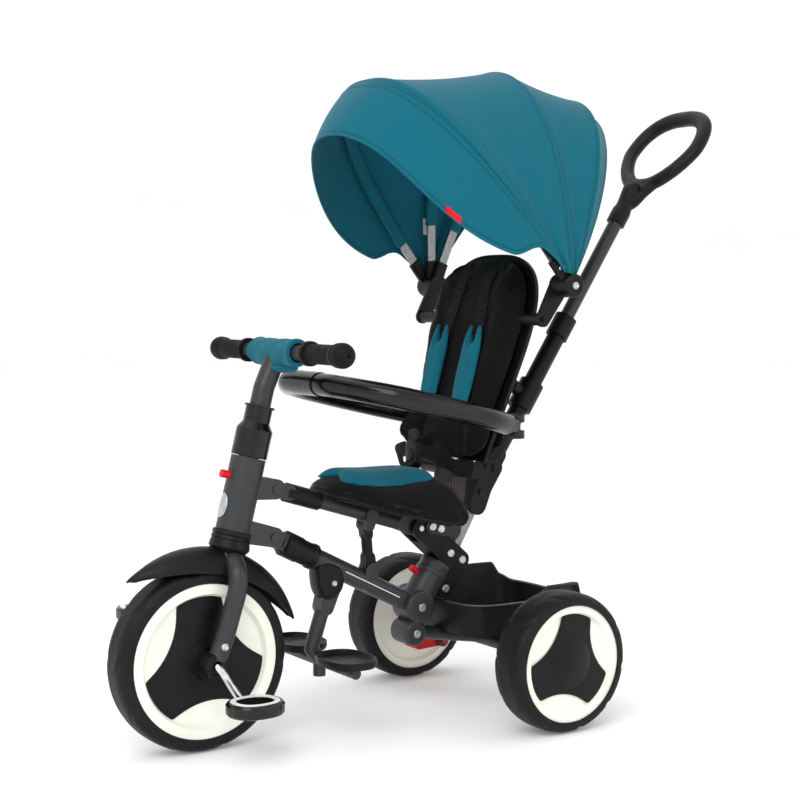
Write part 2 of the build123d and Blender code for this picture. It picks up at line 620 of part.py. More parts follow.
# Backrest --------------------------------------------------------------------
back_plane = Plane(origin=at(SEAT_PIVOT), x_dir=(1, 0, 0),
                   z_dir=(0, -cos(radians(BACK_LEAN)), sin(radians(BACK_LEAN))))
BACK_RIGHT = [(82, 14), (96, 90), (111, 160), (119, 232), (103, 290), (62, 320), (0, 327)]
SHELL_T = 6.0
PAD_T = 30.0
KNOB_R = 12.5
HINGE_X = 124.0
RING_HINGE = (HINGE_X, -30.0, 430.0)
ARM_X = 150.0
ARM_T = 5.0


def back_solid(low, high, scale=1.0):
    """Backrest outline between two levels in front of the backrest plane."""
    pts = BACK_RIGHT + [(-x, v) for x, v in reversed(BACK_RIGHT[:-1])]
    with BuildPart() as piece:
        with BuildSketch(back_plane.offset(low)):
            with BuildLine():
                Spline(*[(x * scale, v) for x, v in pts])
                Line((pts[-1][0] * scale, pts[-1][1]), (pts[0][0] * scale, pts[0][1]))
            make_face()
        extrude(amount=high - low)
    return piece.part


with BuildPart() as brackets:
    for s in (-1, 1):
        add(pin(SEAT_PIVOT, *sorted((s * 24, s * 59)), KNOB_R))
        add(link(SEAT_PIVOT, toward(SEAT_PIVOT, (12, 595), 60), 8, 8, *sorted((s * 26, s * 42))))
        add(pin(ARM_PIVOT, *sorted((s * 108, s * (ARM_X - RUN))), 9))
        add(pin(ARM_PIVOT, *sorted((s * 108, s * (ARM_X + ARM_T + 4))), PIN_R))
        with BuildSketch(Plane.XY.offset(RING_HINGE[2] - 6)):
            with Locations((s * 84, -24)):
                Circle(7)
            with Locations((s * HINGE_X, RING_HINGE[1])):
                Circle(9.5)
            make_hull()
        extrude(amount=12)
with BuildPart() as backrest_shell:
    add(back_solid(-SHELL_T / 2, SHELL_T / 2))
    add(brackets.part)
    add(pin(SEAT_PIVOT, -60, 60, PIN_R + TINY), mode=Mode.SUBTRACT)
    for s in (-1, 1):
        hinge_foot = (s * HINGE_X, RING_HINGE[1], RING_HINGE[2] - 20)
        hinge_head = (s * HINGE_X, RING_HINGE[1], RING_HINGE[2] + 20)
        add(bar(hinge_foot, hinge_head, 3 + TINY), mode=Mode.SUBTRACT)
save(backrest_shell.part, "backrest_shell")

knobs = [pin(SEAT_PIVOT, *sorted((s * 59, s * 66)), KNOB_R) for s in (-1, 1)]
save(group(knobs), "recline_knobs")

with BuildPart() as backrest_pad:
    add(back_solid(SHELL_T / 2 + TINY, SHELL_T / 2 + PAD_T))
    add(brackets.part, mode=Mode.SUBTRACT)
save(backrest_pad.part, "backrest_pad")

PAD_FACE = SHELL_T / 2 + PAD_T
harness = []
for s in (-1, 1):
    with BuildPart() as strap:
        with BuildSketch(back_plane.offset(PAD_FACE + TINY)):
            with Locations((s * 40, 185)):
                Rectangle(26, 220)
        extrude(amount=2.5)
        with BuildSketch(back_plane.offset(PAD_FACE + 2.5)):
            with Locations((s * 40, 150)):
                RectangleRounded(46, 120, 16)
        extrude(amount=12)
    harness.append(strap.part)
save(group(harness), "harness")

# Bumper ring -----------------------------------------------------------------
RING_Z = 493.0
RING_FALL = 0.237
RING_FRONT = -296.0
RING_PATH = [(HINGE_X, -30), (150, -86), (158, -145), (152, -203), (124, -256), (70, -288),
             (0.25, RING_FRONT)]
BAND_X = 30.0
BUTTON_X = BAND_X / 2 + 0.25

ring_left = [(x, y, RING_Z - RING_FALL * (y - RING_FRONT)) for x, y in RING_PATH]
HINGE_Z = RING_HINGE[2]


def ring_arm():
    """Left half of the bumper ring, with its hinge eye at the rear."""
    with BuildPart() as piece:
        with BuildLine():
            way = Spline(*ring_left, tangents=[(0.35, -1, RING_FALL), (-1, 0, 0)])
        with BuildSketch(Plane(origin=way @ 0, z_dir=way % 0)):
            Circle(RING_R)
        sweep()
        with Locations((HINGE_X, RING_HINGE[1], HINGE_Z)):
            Cylinder(RING_R, 34)
            Cylinder(RING_R + 1.5, 12 + 2 * RUN, mode=Mode.SUBTRACT)
            Cylinder(3, 34)
        with Locations((BUTTON_X, RING_FRONT, RING_Z)):
            Cylinder(RING_R + 1.5, BAND_X, rotation=(0, 90, 0))
        with Locations((BUTTON_X, RING_FRONT, RING_Z + RING_R)):
            Cylinder(4.1, 26, mode=Mode.SUBTRACT)
    return piece.part


left_arm = ring_arm()
save(left_arm, "bumper_left")
save(mirror(left_arm, about=Plane.YZ), "bumper_right")

with BuildPart() as ring_button:
    with Locations((BUTTON_X, RING_FRONT, RING_Z + RING_R - 4)):
        Cylinder(4, 8)
save(ring_button.part, "bumper_button")

# Canopy ----------------------------------------------------------------------
REAR_ANGLE = 69.5
MIDDLE_ANGLE = 93.5
FRONT_ANGLE = 129.5
BAND_ANGLE = 126.4
VISOR_ANGLE = 146.0
BOW_WIDE = 14.0
BOW_T = 3.0
HUB_CLEAR = 24.0
# name: half width and rise of the bow, x where its end fitting starts, angle
BOWS = {"rear": (159.0, 290.0, 158.5, REAR_ANGLE),
        "middle": (166.5, 299.0, 166.0, MIDDLE_ANGLE),
        "front": (175.0, 355.0, 174.5, FRONT_ANGLE)}


def arch(half, rise, least=0.0):
    """Superellipse arch as (x, r) points, from r = least round to r = least."""
    start = 0.0
    while rise * sin(start) ** (2 / CANOPY_N) < least:
        start += 0.002
    pts = []
    for k in range(41):
        t = start + (pi - 2 * start) * k / 40
        c = cos(t)
        x = half * (1 if c > 0 else -1) * abs(c) ** (2 / CANOPY_N)
        pts.append((x, rise * max(sin(t), 0.0) ** (2 / CANOPY_N)))
    return pts


def arch_face(half, rise, wall, least):
    """Closed outline between an arch and the same arch grown by the wall."""
    inner = arch(half, rise, least)
    outer = arch(half + wall, rise + wall, least)
    Spline(*inner)
    Spline(*outer)
    Line(inner[0], outer[0])
    Line(inner[-1], outer[-1])


def fabric(half, rise, low, high):
    """Wedge of the canopy skin between two angles about its pivot."""
    with BuildPart() as piece:
        with BuildSketch(radial_plane(CANOPY_PIVOT, low)):
            with BuildLine():
                arch_face(half, rise, CANOPY_WALL, HUB_CLEAR)
            make_face()
        revolve(axis=Axis(at(CANOPY_PIVOT), (1, 0, 0)), revolution_arc=high - low)
    return piece.part


for name, (half, rise, disc_x, angle) in BOWS.items():
    with BuildPart() as bow:
        with BuildSketch(radial_plane(CANOPY_PIVOT, angle)):
            with BuildLine():
                arch_face(half, rise, BOW_T, 0.5)
            make_face()
        extrude(amount=BOW_WIDE / 2, both=True)
        for s in (-1, 1):
            add(pin(CANOPY_PIVOT, *sorted((s * disc_x, s * (disc_x + 4))), 15))
            add(pin(CANOPY_PIVOT, *sorted((s * (disc_x - 8), s * (disc_x + 12))), PIN_R + TINY),
                mode=Mode.SUBTRACT)
    save(bow.part, f"bow_{name}")

save(fabric(163, 294, REAR_ANGLE - 3.5, MIDDLE_ANGLE - 2), "canopy_rear")
save(fabric(171, 303, MIDDLE_ANGLE - 2, MIDDLE_ANGLE + 16), "canopy_middle")
PANEL = (181.5, 332)
with BuildPart() as step_wall:
    with BuildSketch(radial_plane(CANOPY_PIVOT, BAND_ANGLE)):
        with BuildLine():
            inner_edge = arch(*PANEL, HUB_CLEAR)
            outer_edge = arch(183, 361, HUB_CLEAR)
            Spline(*inner_edge)
            Spline(*outer_edge)
            Line(inner_edge[0], outer_edge[0])
            Line(inner_edge[-1], outer_edge[-1])
        make_face()
    revolve(axis=Axis(at(CANOPY_PIVOT), (1, 0, 0)), revolution_arc=0.6)
    with Locations(at(CANOPY_PIVOT)):
        Box(292, 1200, 1200, mode=Mode.INTERSECT)
with BuildPart() as canopy_front:
    add(fabric(181, 359, BAND_ANGLE, VISOR_ANGLE))
    add(fabric(*PANEL, MIDDLE_ANGLE + 16.5, BAND_ANGLE + 0.6))
    add(step_wall.part)
save(canopy_front.part, "canopy_front")

with BuildPart() as canopy_arm:
    add(link(ARM_PIVOT, CANOPY_PIVOT, 11, 16, ARM_X, ARM_X + ARM_T))
    add(pin(CANOPY_PIVOT, ARM_X, BOWS["front"][2] + 8, PIN_R))
    add(pin(ARM_PIVOT, ARM_X, ARM_X + ARM_T, PIN_R + TINY), mode=Mode.SUBTRACT)
save(both_sides(canopy_arm.part), "canopy_arms")

# Push pole -------------------------------------------------------------------
LOWER_END = 270.0
UPPER_START = 150.0
UPPER_END = hypot(POLE_TOP[0] - POLE_PIVOT[0], POLE_TOP[1] - POLE_PIVOT[1])
CLAMP_FROM = 104.0
CLAMP_TO = 150.0
LOOP_HALF_WIDE = 76.5
LOOP_HALF_LONG = 71.5
LOOP_LEAN = 39.1
LOOP_BASE = (320.0, 795.0)


def pole_at(dist):
    """Side-view point on the pole, from its lower hinge."""
    return toward(POLE_PIVOT, POLE_TOP, dist)


save(bar(at(SOCKET_LOW), at(SOCKET_TOP), POLE_TOP_R), "pole_socket")
with BuildPart() as pole_connector:
    add(link((-14, 303), (-3, 330), 15, 15, -17, 17))
    add(link((-3, 330), POLE_PIVOT, 15, 14, -17, 17))
    add(link(POLE_PIVOT, pole_at(60), 15, 18, -TONGUE - RUN, TONGUE + RUN), mode=Mode.SUBTRACT)
    add(link(POLE_PIVOT, (90, 353), 15, 22, -TONGUE - RUN, TONGUE + RUN), mode=Mode.SUBTRACT)
    add(bar(at(SOCKET_LOW), at(SOCKET_TOP), POLE_TOP_R), mode=Mode.SUBTRACT)
    add(pin(POLE_PIVOT, -20, 20, PIN_R))
    for s in (-1, 1):
        add(pin((-8, 322), *sorted((s * 16.9, s * 19.5)), BOLT_HEAD_R))
        add(pin(POLE_PIVOT, *sorted((s * 16.9, s * 19.5)), BOLT_HEAD_R))
save(pole_connector.part, "pole_connector")

with BuildPart() as pole_lower:
    add(link(POLE_PIVOT, pole_at(22), 13, 12.5, -TONGUE, TONGUE))
    add(bar(at(pole_at(18)), at(pole_at(LOWER_END)), POLE_R))
    add(bar(at(pole_at(LOWER_END - 36)), at(pole_at(LOWER_END)), POLE_R + 3.5))
    add(bar(at(pole_at(36)), at(pole_at(LOWER_END)), POLE_TOP_R + TINY), mode=Mode.SUBTRACT)
    add(pin(POLE_PIVOT, -TONGUE, TONGUE, PIN_R + TINY), mode=Mode.SUBTRACT)
save(pole_lower.part, "pole_lower")


def clamp_point(dist):
    """Point on the clamp button's axis, at a distance forward of the pole's axis."""
    mid = pole_at((CLAMP_FROM + CLAMP_TO) / 2)
    way = (POLE_TOP[0] - POLE_PIVOT[0], POLE_TOP[1] - POLE_PIVOT[1])
    return (mid[0] - way[1] / UPPER_END * dist, mid[1] + way[0] / UPPER_END * dist)


with BuildPart() as pole_clamp:
    add(bar(at(pole_at(CLAMP_FROM)), at(pole_at(CLAMP_TO)), POLE_R + 5))
    add(bar(at(clamp_point(0)), at(clamp_point(30)), 10))
    add(bar(at(pole_at(CLAMP_FROM)), at(pole_at(CLAMP_TO)), POLE_R), mode=Mode.SUBTRACT)
    add(bar(at(clamp_point(0)), at(clamp_point(40)), 5 + TINY), mode=Mode.SUBTRACT)
save(pole_clamp.part, "pole_clamp")
save(bar(at(clamp_point(20)), at(clamp_point(35)), 5), "pole_button")

save(bar(at(pole_at(UPPER_START)), at(pole_at(UPPER_END)), POLE_TOP_R), "pole_upper")


def loop_point(turn):
    """Point of the handle loop's centre line, 0 at the pole's end."""
    c, s = cos(turn), sin(turn)
    x = LOOP_HALF_WIDE * (1 if s > 0 else -1) * abs(s) ** 0.84
    v = LOOP_HALF_LONG * (1 - (1 if c > 0 else -1) * abs(c) ** 0.84)
    lean = radians(LOOP_LEAN)
    return (x, LOOP_BASE[0] + v * sin(lean), LOOP_BASE[1] + v * cos(lean))


with BuildPart() as handle:
    with BuildLine():
        loop_way = Spline(*[loop_point(2 * pi * (k + 0.5) / 28) for k in range(28)], periodic=True)
    with BuildSketch(Plane(origin=loop_way @ 0, z_dir=loop_way % 0)):
        Circle(LOOP_R)
    sweep()
    add(bar(at(pole_at(UPPER_END - 12)), at(pole_at(UPPER_END + 36)), 15))
    add(bar(at(pole_at(UPPER_END + 30)), at(LOOP_BASE), 14))
    for s in (-1, 1):
        add(bar(at(pole_at(UPPER_END + 30)), loop_point(s * 0.55), 11))
    add(bar(at(pole_at(UPPER_START)), at(pole_at(UPPER_END)), POLE_TOP_R), mode=Mode.SUBTRACT)
save(handle.part, "handle")

# Hub button and parking brake ------------------------------------------------
button_ends = [at(toward(BUTTON_ROOT, BUTTON_FACE, d)) for d in (4, 20)]
save(bar(*button_ends, 4.9), "hub_button")

BRAKE_IN = -136.0
BRAKE_OUT = -104.0
with BuildPart() as brake:
    add(link(BRAKE_PIVOT, (-38.0, 69.0), 8, 6, BRAKE_IN, BRAKE_OUT))
    add(pin(BRAKE_PIVOT, BRAKE_OUT - 1, -95, PIN_R - TINY))
save(brake.part, "brake_lever")
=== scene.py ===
# %% [markdown]
# # A children's push tricycle
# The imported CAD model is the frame. Every finish and every soft piece here is
# made round it, in metres, in the same place. Sizes in the cells are in
# millimetres from the rear axle, because that is how such a tricycle is drawn.

# %% Load the frame
import json

import bpy
import numpy as np
from mathutils import Matrix, Vector
from mathutils.bvhtree import BVHTree


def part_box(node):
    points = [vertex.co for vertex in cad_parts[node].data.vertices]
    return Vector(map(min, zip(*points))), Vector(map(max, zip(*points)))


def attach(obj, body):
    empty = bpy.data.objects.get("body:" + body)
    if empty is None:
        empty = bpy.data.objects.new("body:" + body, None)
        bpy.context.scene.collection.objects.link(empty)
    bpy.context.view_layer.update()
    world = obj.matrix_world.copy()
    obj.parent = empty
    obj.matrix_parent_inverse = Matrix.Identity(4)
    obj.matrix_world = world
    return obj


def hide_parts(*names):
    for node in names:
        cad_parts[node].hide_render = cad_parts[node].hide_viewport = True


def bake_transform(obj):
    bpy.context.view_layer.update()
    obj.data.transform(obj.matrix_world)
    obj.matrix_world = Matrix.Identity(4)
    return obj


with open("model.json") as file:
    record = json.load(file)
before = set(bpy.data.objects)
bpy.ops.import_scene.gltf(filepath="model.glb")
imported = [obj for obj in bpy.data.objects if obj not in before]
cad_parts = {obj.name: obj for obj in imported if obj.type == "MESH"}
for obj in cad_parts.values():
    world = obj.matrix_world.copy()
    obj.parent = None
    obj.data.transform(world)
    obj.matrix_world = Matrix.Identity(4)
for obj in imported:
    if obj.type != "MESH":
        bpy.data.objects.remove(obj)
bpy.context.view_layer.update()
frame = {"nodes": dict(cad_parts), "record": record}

NODES = frame["nodes"]
axle_low, axle_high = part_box("rear_axle")
AXLE = np.array(axle_low + axle_high) / 2

# %% [markdown]
# ## Surfaces from arrays
# A new piece is a grid of points, worked out for all its rows and columns at
# once. Two small helpers turn a grid into faces and into a Blender mesh.


# %% Grid helpers
def to_frame(points):
    """Millimetres from the rear axle's side view to metres in the frame."""
    return np.asarray(points, float) / 1000 + (0.0, AXLE[1], 0.0)


def grid_faces(rows, cols, wrap_rows=False, wrap_cols=False):
    """Quads of a grid: each face joins a point, its right neighbour and the two in the next row."""
    i = np.arange(rows if wrap_rows else rows - 1)[:, None]
    j = np.arange(cols if wrap_cols else cols - 1)[None, :]
    a = i * cols + j
    b = i * cols + (j + 1) % cols
    c = (i + 1) % rows * cols + (j + 1) % cols
    d = (i + 1) % rows * cols + j
    return np.stack([a, b, c, d], -1).reshape(-1, 4)


def joined(parts):
    """One vertex array and one face list from several (points, faces) parts."""
    starts = np.cumsum([0] + [len(points) for points, _ in parts[:-1]])
    points = np.concatenate([p for p, _ in parts])
    faces = [[k + start for k in face] for (_, part_faces), start in zip(parts, starts.tolist())
             for face in part_faces]
    return points, faces


def tube(path, radius, sides=16, up=(0.0, 0.0, 1.0), closed=False, flat=1.0):
    """Round bar along a path: each path point carries a circle in the plane across the path.
    flat squeezes the circle along the second direction."""
    path = np.asarray(path, float)
    way = np.gradient(path, axis=0)
    if closed:
        way = np.roll(path, -1, 0) - np.roll(path, 1, 0)
    way /= np.linalg.norm(way, axis=1)[:, None]
    first = np.cross(way, up)
    first /= np.linalg.norm(first, axis=1)[:, None]
    second = np.cross(way, first)
    turn = np.linspace(0, 2 * np.pi, sides, endpoint=False)[None, :, None]
    radius = np.broadcast_to(np.asarray(radius, float).reshape(-1, 1, 1), (len(path), 1, 1))
    ring = path[:, None] + radius * (np.cos(turn) * first[:, None] + flat * np.sin(turn) * second[:, None])
    points = ring.reshape(-1, 3)
    faces = grid_faces(len(path), sides, closed, True).tolist()
    if not closed:
        faces += [list(range(sides)), list(range(len(points) - sides, len(points)))]
    return points, faces


def turned(profile, centre, sides=96, wave=None):
    """Ring turned about an axle along X: (x, r) of the profile, at every angle round the centre.
    wave changes the radius as a function of the angle and x."""
    profile = np.asarray(profile, float)
    turn = np.linspace(0, 2 * np.pi, sides, endpoint=False)[:, None]
    x = np.broadcast_to(profile[None, :, 0], (sides, len(profile)))
    r = np.broadcast_to(profile[None, :, 1], x.shape)
    if wave is not None:
        r = r + wave(turn, x, r)
    points = np.stack([centre[0] + x, centre[1] + r * np.cos(turn), centre[2] + r * np.sin(turn)], -1)
    return points.reshape(-1, 3), grid_faces(sides, len(profile), True, True).tolist()


def oval(x, y, long_x, long_y, squareness, sides=72):
    """Superellipse loop round a point."""
    a = np.linspace(0, 2 * np.pi, sides, endpoint=False)
    c, s = np.cos(a), np.sin(a)
    power = 2 / squareness
    out_x, out_y = np.sign(c) * np.abs(c) ** power, np.sign(s) * np.abs(s) ** power
    return np.stack([x + long_x * out_x, y + long_y * out_y], -1)


print("grid helpers ready")

# %% [markdown]
# A mesh is finished the same way each time: its doubles are merged, its faces
# are turned outwards, and edges sharper than a given angle stay crisp.


# %% Make a piece
def piece(name, parts, material, body, sharp=35.0, flat_uv=None, gap=None):
    """A mesh object from parts in millimetres, riding on a body."""
    points, faces = joined(parts)
    mesh = bpy.data.meshes.new(name)
    mesh.from_pydata(to_frame(points).tolist(), [], faces)
    obj = bpy.data.objects.new(name, mesh)
    bpy.context.scene.collection.objects.link(obj)
    if flat_uv is not None:
        layer = mesh.uv_layers.new(name="UVMap")
        corners = np.zeros(len(mesh.loops), np.int32)
        mesh.loops.foreach_get("vertex_index", corners)
        layer.data.foreach_set("uv", np.asarray(flat_uv, np.float32)[corners].ravel())
    if gap is not None:
        mesh.attributes.new("seam_gap", "FLOAT", "POINT").data.foreach_set("value", gap.astype(np.float32))
    tidy(obj, sharp)
    mesh.materials.append(material)
    if body:
        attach(obj, body)
    print(name, len(mesh.polygons), "faces")
    return obj


def tidy(obj, sharp=35.0):
    """Merges doubles, turns faces outwards and shades smooth but for the sharp edges."""
    bpy.ops.object.select_all(action="DESELECT")
    bpy.context.view_layer.objects.active = obj
    obj.select_set(True)
    bpy.ops.object.mode_set(mode="EDIT")
    bpy.ops.mesh.select_all(action="SELECT")
    bpy.ops.mesh.remove_doubles(threshold=1e-5)
    bpy.ops.mesh.normals_make_consistent(inside=False)
    bpy.ops.object.mode_set(mode="OBJECT")
    obj.data.polygons.foreach_set("use_smooth", np.ones(len(obj.data.polygons), bool))
    obj.data.set_sharp_from_angle(angle=np.radians(sharp))


# %% [markdown]
# ## Materials
# Each finish starts from what the real one is. Colours are written as they are
# seen on a screen and turned to light values by one function, and one function
# adds a node. Patterns are in real millimetres.


# %% Colour and node helpers
def linear(colour):
    """sRGB hex to linear RGBA."""
    parts = np.array([int(colour[k:k + 2], 16) for k in (1, 3, 5)]) / 255
    light = np.where(parts <= 0.04045, parts / 12.92, ((parts + 0.055) / 1.055) ** 2.4)
    return (*light.tolist(), 1.0)


def add_node(tree, kind, inputs=None, **settings):
    """A node with its settings; inputs are values, or outputs to link."""
    node = tree.nodes.new(kind)
    for key, value in settings.items():
        setattr(node, key, value)
    for name, value in (inputs or {}).items():
        if isinstance(value, bpy.types.NodeSocket):
            tree.links.new(value, node.inputs[name])
        else:
            node.inputs[name].default_value = value
    return node


def start(name):
    """A new material, its tree, its shader and its Object coordinates."""
    mat = bpy.data.materials.new(name)
    mat.use_nodes = True
    tree = mat.node_tree
    coords = add_node(tree, "ShaderNodeTexCoord")
    return mat, tree, tree.nodes["Principled BSDF"], coords.outputs["Object"]


def mottled(tree, where, size, low, high, detail=2.0):
    """A noise of that feature size in mm, mapped between two values."""
    noise = add_node(tree, "ShaderNodeTexNoise", {"Vector": where, "Scale": 1000 / size, "Detail": detail})
    span = add_node(tree, "ShaderNodeMapRange", {"Value": noise.outputs["Fac"], "From Min": 0.3,
                                                 "From Max": 0.7, "To Min": low, "To Max": high})
    return span.outputs["Result"]


def two_tones(tree, amount, first, second):
    """Colour between two, by an amount from 0 to 1."""
    mix = add_node(tree, "ShaderNodeMix", {"Factor": amount}, data_type="RGBA")
    mix.inputs["A"].default_value = linear(first)
    mix.inputs["B"].default_value = linear(second)
    return mix.outputs["Result"]


print("material helpers ready")


# %% [markdown]
# Moulded plastic, polypropylene or ABS, is one colour all through. What tells
# it apart is the faint grain of the mould and a gloss that wanders a little
# with handling. Gloss black, satin black, ivory and red differ only in these.

# %% Moulded plastic
def moulded(name, colour, worn, rough, grain, depth, shine=0.25):
    """Moulded plastic: colour, its scuffed tone, roughness, mould grain in mm and its depth in mm."""
    mat, tree, shader, where = start(name)
    patches = mottled(tree, where, 45, 0.0, 1.0)
    tree.links.new(two_tones(tree, patches, colour, worn), shader.inputs["Base Color"])
    tree.links.new(mottled(tree, where, 18, rough * 0.8, rough * 1.25, 4.0), shader.inputs["Roughness"])
    pits = mottled(tree, where, grain, 0.0, 1.0)
    bump = add_node(tree, "ShaderNodeBump", {"Height": pits, "Distance": depth / 1000, "Strength": 0.6})
    tree.links.new(bump.outputs["Normal"], shader.inputs["Normal"])
    shader.inputs["IOR"].default_value = 1.49
    shader.inputs["Specular IOR Level"].default_value = shine
    return mat


GLOSS_BLACK = moulded("gloss_black_ABS", "#070707", "#0b0b0b", 0.2, 1.2, 0.01, 0.4)
SATIN_BLACK = moulded("satin_black_polypropylene", "#0d0c0c", "#131212", 0.42, 1.6, 0.05, 0.2)
IVORY = moulded("ivory_polypropylene", "#f6f6ec", "#eeeee0", 0.36, 2.0, 0.02, 0.4)
RED = moulded("red_ABS", "#d3101c", "#b80c17", 0.28, 1.5, 0.01)
GRIP_RUBBER = moulded("brown_black_soft_rubber", "#0f0c0b", "#15110f", 0.55, 1.4, 0.05, 0.15)
WHITE = moulded("white_ABS", "#f0f0ee", "#e2e2de", 0.35, 1.5, 0.01)
print("plastics made")

# %% [markdown]
# EVA foam tyres are closed cells with a skin: nearly black, dull, with fine
# pores and a dusty tread. A cellular noise dents the pores.

# %% Foam tyre
def foam_tyre():
    """EVA foam: pores about 1.5 mm apart, drawn coarser than real so that they show."""
    mat, tree, shader, where = start("EVA_foam")
    dust = mottled(tree, where, 30, 0.0, 1.0)
    tree.links.new(two_tones(tree, dust, "#0c0b0b", "#131211"), shader.inputs["Base Color"])
    shader.inputs["Roughness"].default_value = 0.52
    shader.inputs["Specular IOR Level"].default_value = 0.22
    pores = add_node(tree, "ShaderNodeTexVoronoi", {"Vector": where, "Scale": 1000 / 2.2})
    bump = add_node(tree, "ShaderNodeBump", {"Height": pores.outputs["Distance"], "Distance": 0.0002,
                                             "Strength": 0.35})
    tree.links.new(bump.outputs["Normal"], shader.inputs["Normal"])
    return mat


FOAM = foam_tyre()
print("foam made")

# %% [markdown]
# The frame tubes are steel with a satin powder coat, which has a fine orange
# peel. Bolts are zinc plated, the cranks are chromed, the inner pole and the
# canopy bows are drawn aluminium with marks along their length.

# %% Metals
def powder_coat(name, colour, light, rough):
    """Powder coated steel: orange peel 2.5 mm wide under a clear satin skin."""
    mat, tree, shader, where = start(name)
    speck = mottled(tree, where, 1.5, 0.0, 1.0)
    tree.links.new(two_tones(tree, speck, colour, light), shader.inputs["Base Color"])
    shader.inputs["Metallic"].default_value = 0.25
    shader.inputs["Specular IOR Level"].default_value = 0.35
    tree.links.new(mottled(tree, where, 25, rough * 0.85, rough * 1.2), shader.inputs["Roughness"])
    peel = mottled(tree, where, 2.5, 0.0, 1.0)
    bump = add_node(tree, "ShaderNodeBump", {"Height": peel, "Distance": 0.00004, "Strength": 0.5})
    tree.links.new(bump.outputs["Normal"], shader.inputs["Normal"])
    return mat


def bare_metal(name, colour, dull, rough):
    """Plated or drawn metal: cloudy tone and roughness, no grain to feel."""
    mat, tree, shader, where = start(name)
    cloud = mottled(tree, where, 9, 0.0, 1.0, 5.0)
    tree.links.new(two_tones(tree, cloud, colour, dull), shader.inputs["Base Color"])
    shader.inputs["Metallic"].default_value = 1.0
    tree.links.new(mottled(tree, where, 4, rough * 0.7, rough * 1.4), shader.inputs["Roughness"])
    return mat


GREY_COAT = powder_coat("dark_grey_powder_coat", "#303133", "#383a3c", 0.38)
BROWN_COAT = powder_coat("brown_black_powder_coat", "#261d1e", "#30282a", 0.34)
ZINC = bare_metal("zinc_plate", "#cfd6d8", "#a9b0b4", 0.3)
CHROME = bare_metal("chrome_plate", "#dfe2e4", "#c4c8cc", 0.12)
DRAWN_ALU = bare_metal("drawn_aluminium", "#8d8e90", "#7c7d80", 0.32)
print("metals made")

# %% [markdown]
# The canopy and cushions are woven polyester, a matt cloth with a soft sheen
# at grazing light. The real thread is about 0.4 mm, too fine to show, so the
# weave is drawn at 1.6 mm. Crossing bands make it: warp one way, weft the other.

# %% Woven cloth
def weave_height(tree, where, pitch):
    """Crossing bands along the three axes, added up, as the height of a weave."""
    total = None
    for axis in ("X", "Y", "Z"):
        bands = add_node(tree, "ShaderNodeTexWave", {"Vector": where, "Scale": 314.0 / pitch,
                                                     "Distortion": 0.6, "Detail": 1.0},
                         bands_direction=axis)
        if total is None:
            total = bands.outputs["Fac"]
        else:
            total = add_node(tree, "ShaderNodeMath", {0: total, 1: bands.outputs["Fac"]}).outputs[0]
    return total


def woven(name, colour, shade, pitch=1.6, sheen=0.12, rough=0.85):
    """Woven polyester: threads, slubs in the tone, and a sheen."""
    mat, tree, shader, where = start(name)
    slubs = mottled(tree, where, 3.0, 0.0, 0.55, 6.0)
    tree.links.new(two_tones(tree, slubs, colour, shade), shader.inputs["Base Color"])
    shader.inputs["Roughness"].default_value = rough
    shader.inputs["Sheen Weight"].default_value = sheen
    shader.inputs["Sheen Roughness"].default_value = 0.4
    shader.inputs["Specular IOR Level"].default_value = 0.12
    height = weave_height(tree, where, pitch)
    bump = add_node(tree, "ShaderNodeBump", {"Height": height, "Distance": 0.00012, "Strength": 0.4})
    tree.links.new(bump.outputs["Normal"], shader.inputs["Normal"])
    return mat


TEAL = woven("teal_woven_polyester", "#0f6274", "#0b5565")
BLACK_CLOTH = woven("black_woven_polyester", "#0b0b0c", "#121112", sheen=0.08)
WEBBING = woven("black_polyester_webbing", "#101010", "#191919", pitch=3.2, sheen=0.1)
print("cloths made")

# %% [markdown]
# ## Finishes on the CAD pieces
# The hard parts keep their CAD shape. Each gets the finish of its record slot,
# and two go their own way: chrome cranks and rubber grips.

# %% Dress the CAD nodes
FINISH = {"black_gloss": GLOSS_BLACK, "black_matte": SATIN_BLACK, "grey_paint": GREY_COAT,
          "brown_steel": BROWN_COAT, "zinc": ZINC, "ivory": IVORY, "foam": FOAM, "red": RED,
          "inner_tube": DRAWN_ALU, "black_cloth": BLACK_CLOTH, "teal_cloth": TEAL, "bow_metal": DRAWN_ALU}
slot_of = {part["node"]: part["material_slot"] for part in frame["record"]["subparts"]}
own_finish = {"cranks": CHROME, "grips": GRIP_RUBBER}
for name, obj in NODES.items():
    obj.data.materials.clear()
    obj.data.materials.append(own_finish.get(name, FINISH[slot_of[name]]))
print(len(NODES), "CAD nodes dressed")

# %% [markdown]
# ## Canopy
# The real canopy is one sewn sheet of polyester over three flat bows that fan
# out from two discs. Its side view is a fan too, so it is worked out as arches
# at angles about the discs' line. Each arch is a superellipse, half of a
# rounded box, and the cloth runs straight from arch to arch, with a little sag.

# %% Canopy arches
PIVOT = np.array((27.6, 631.0))
# angle about the pivot, rise, half width, squareness, lift (mm and degrees)
ARCHES = {"rear_hem": (58.5, 309.0, 177.0, 1.85, 0.0),
          "rear_bow": (68.9, 302.0, 181.0, 2.53, 0.0),
          "middle_bow": (92.8, 315.0, 184.0, 2.15, 0.0),
          "front_bow": (127.7, 363.0, 184.0, 2.6, 0.0),
          "band_top": (128.8, 369.0, 185.0, 2.55, 0.0),
          "band_edge": (131.0, 369.0, 186.0, 2.4, 0.0),
          "visor_hem": (148.4, 343.0, 190.0, 2.08, 28.0)}
PANEL_ROWS = (8, 22, 30, 5, 6, 22)
PANEL_SAG = (2.0, 4.0, 5.0, -1.5, 0.0, -4.0)


def smooth(x):
    """0 below 0, 1 above 1, and an S between."""
    x = np.clip(x, 0, 1)
    return x * x * (3 - 2 * x)


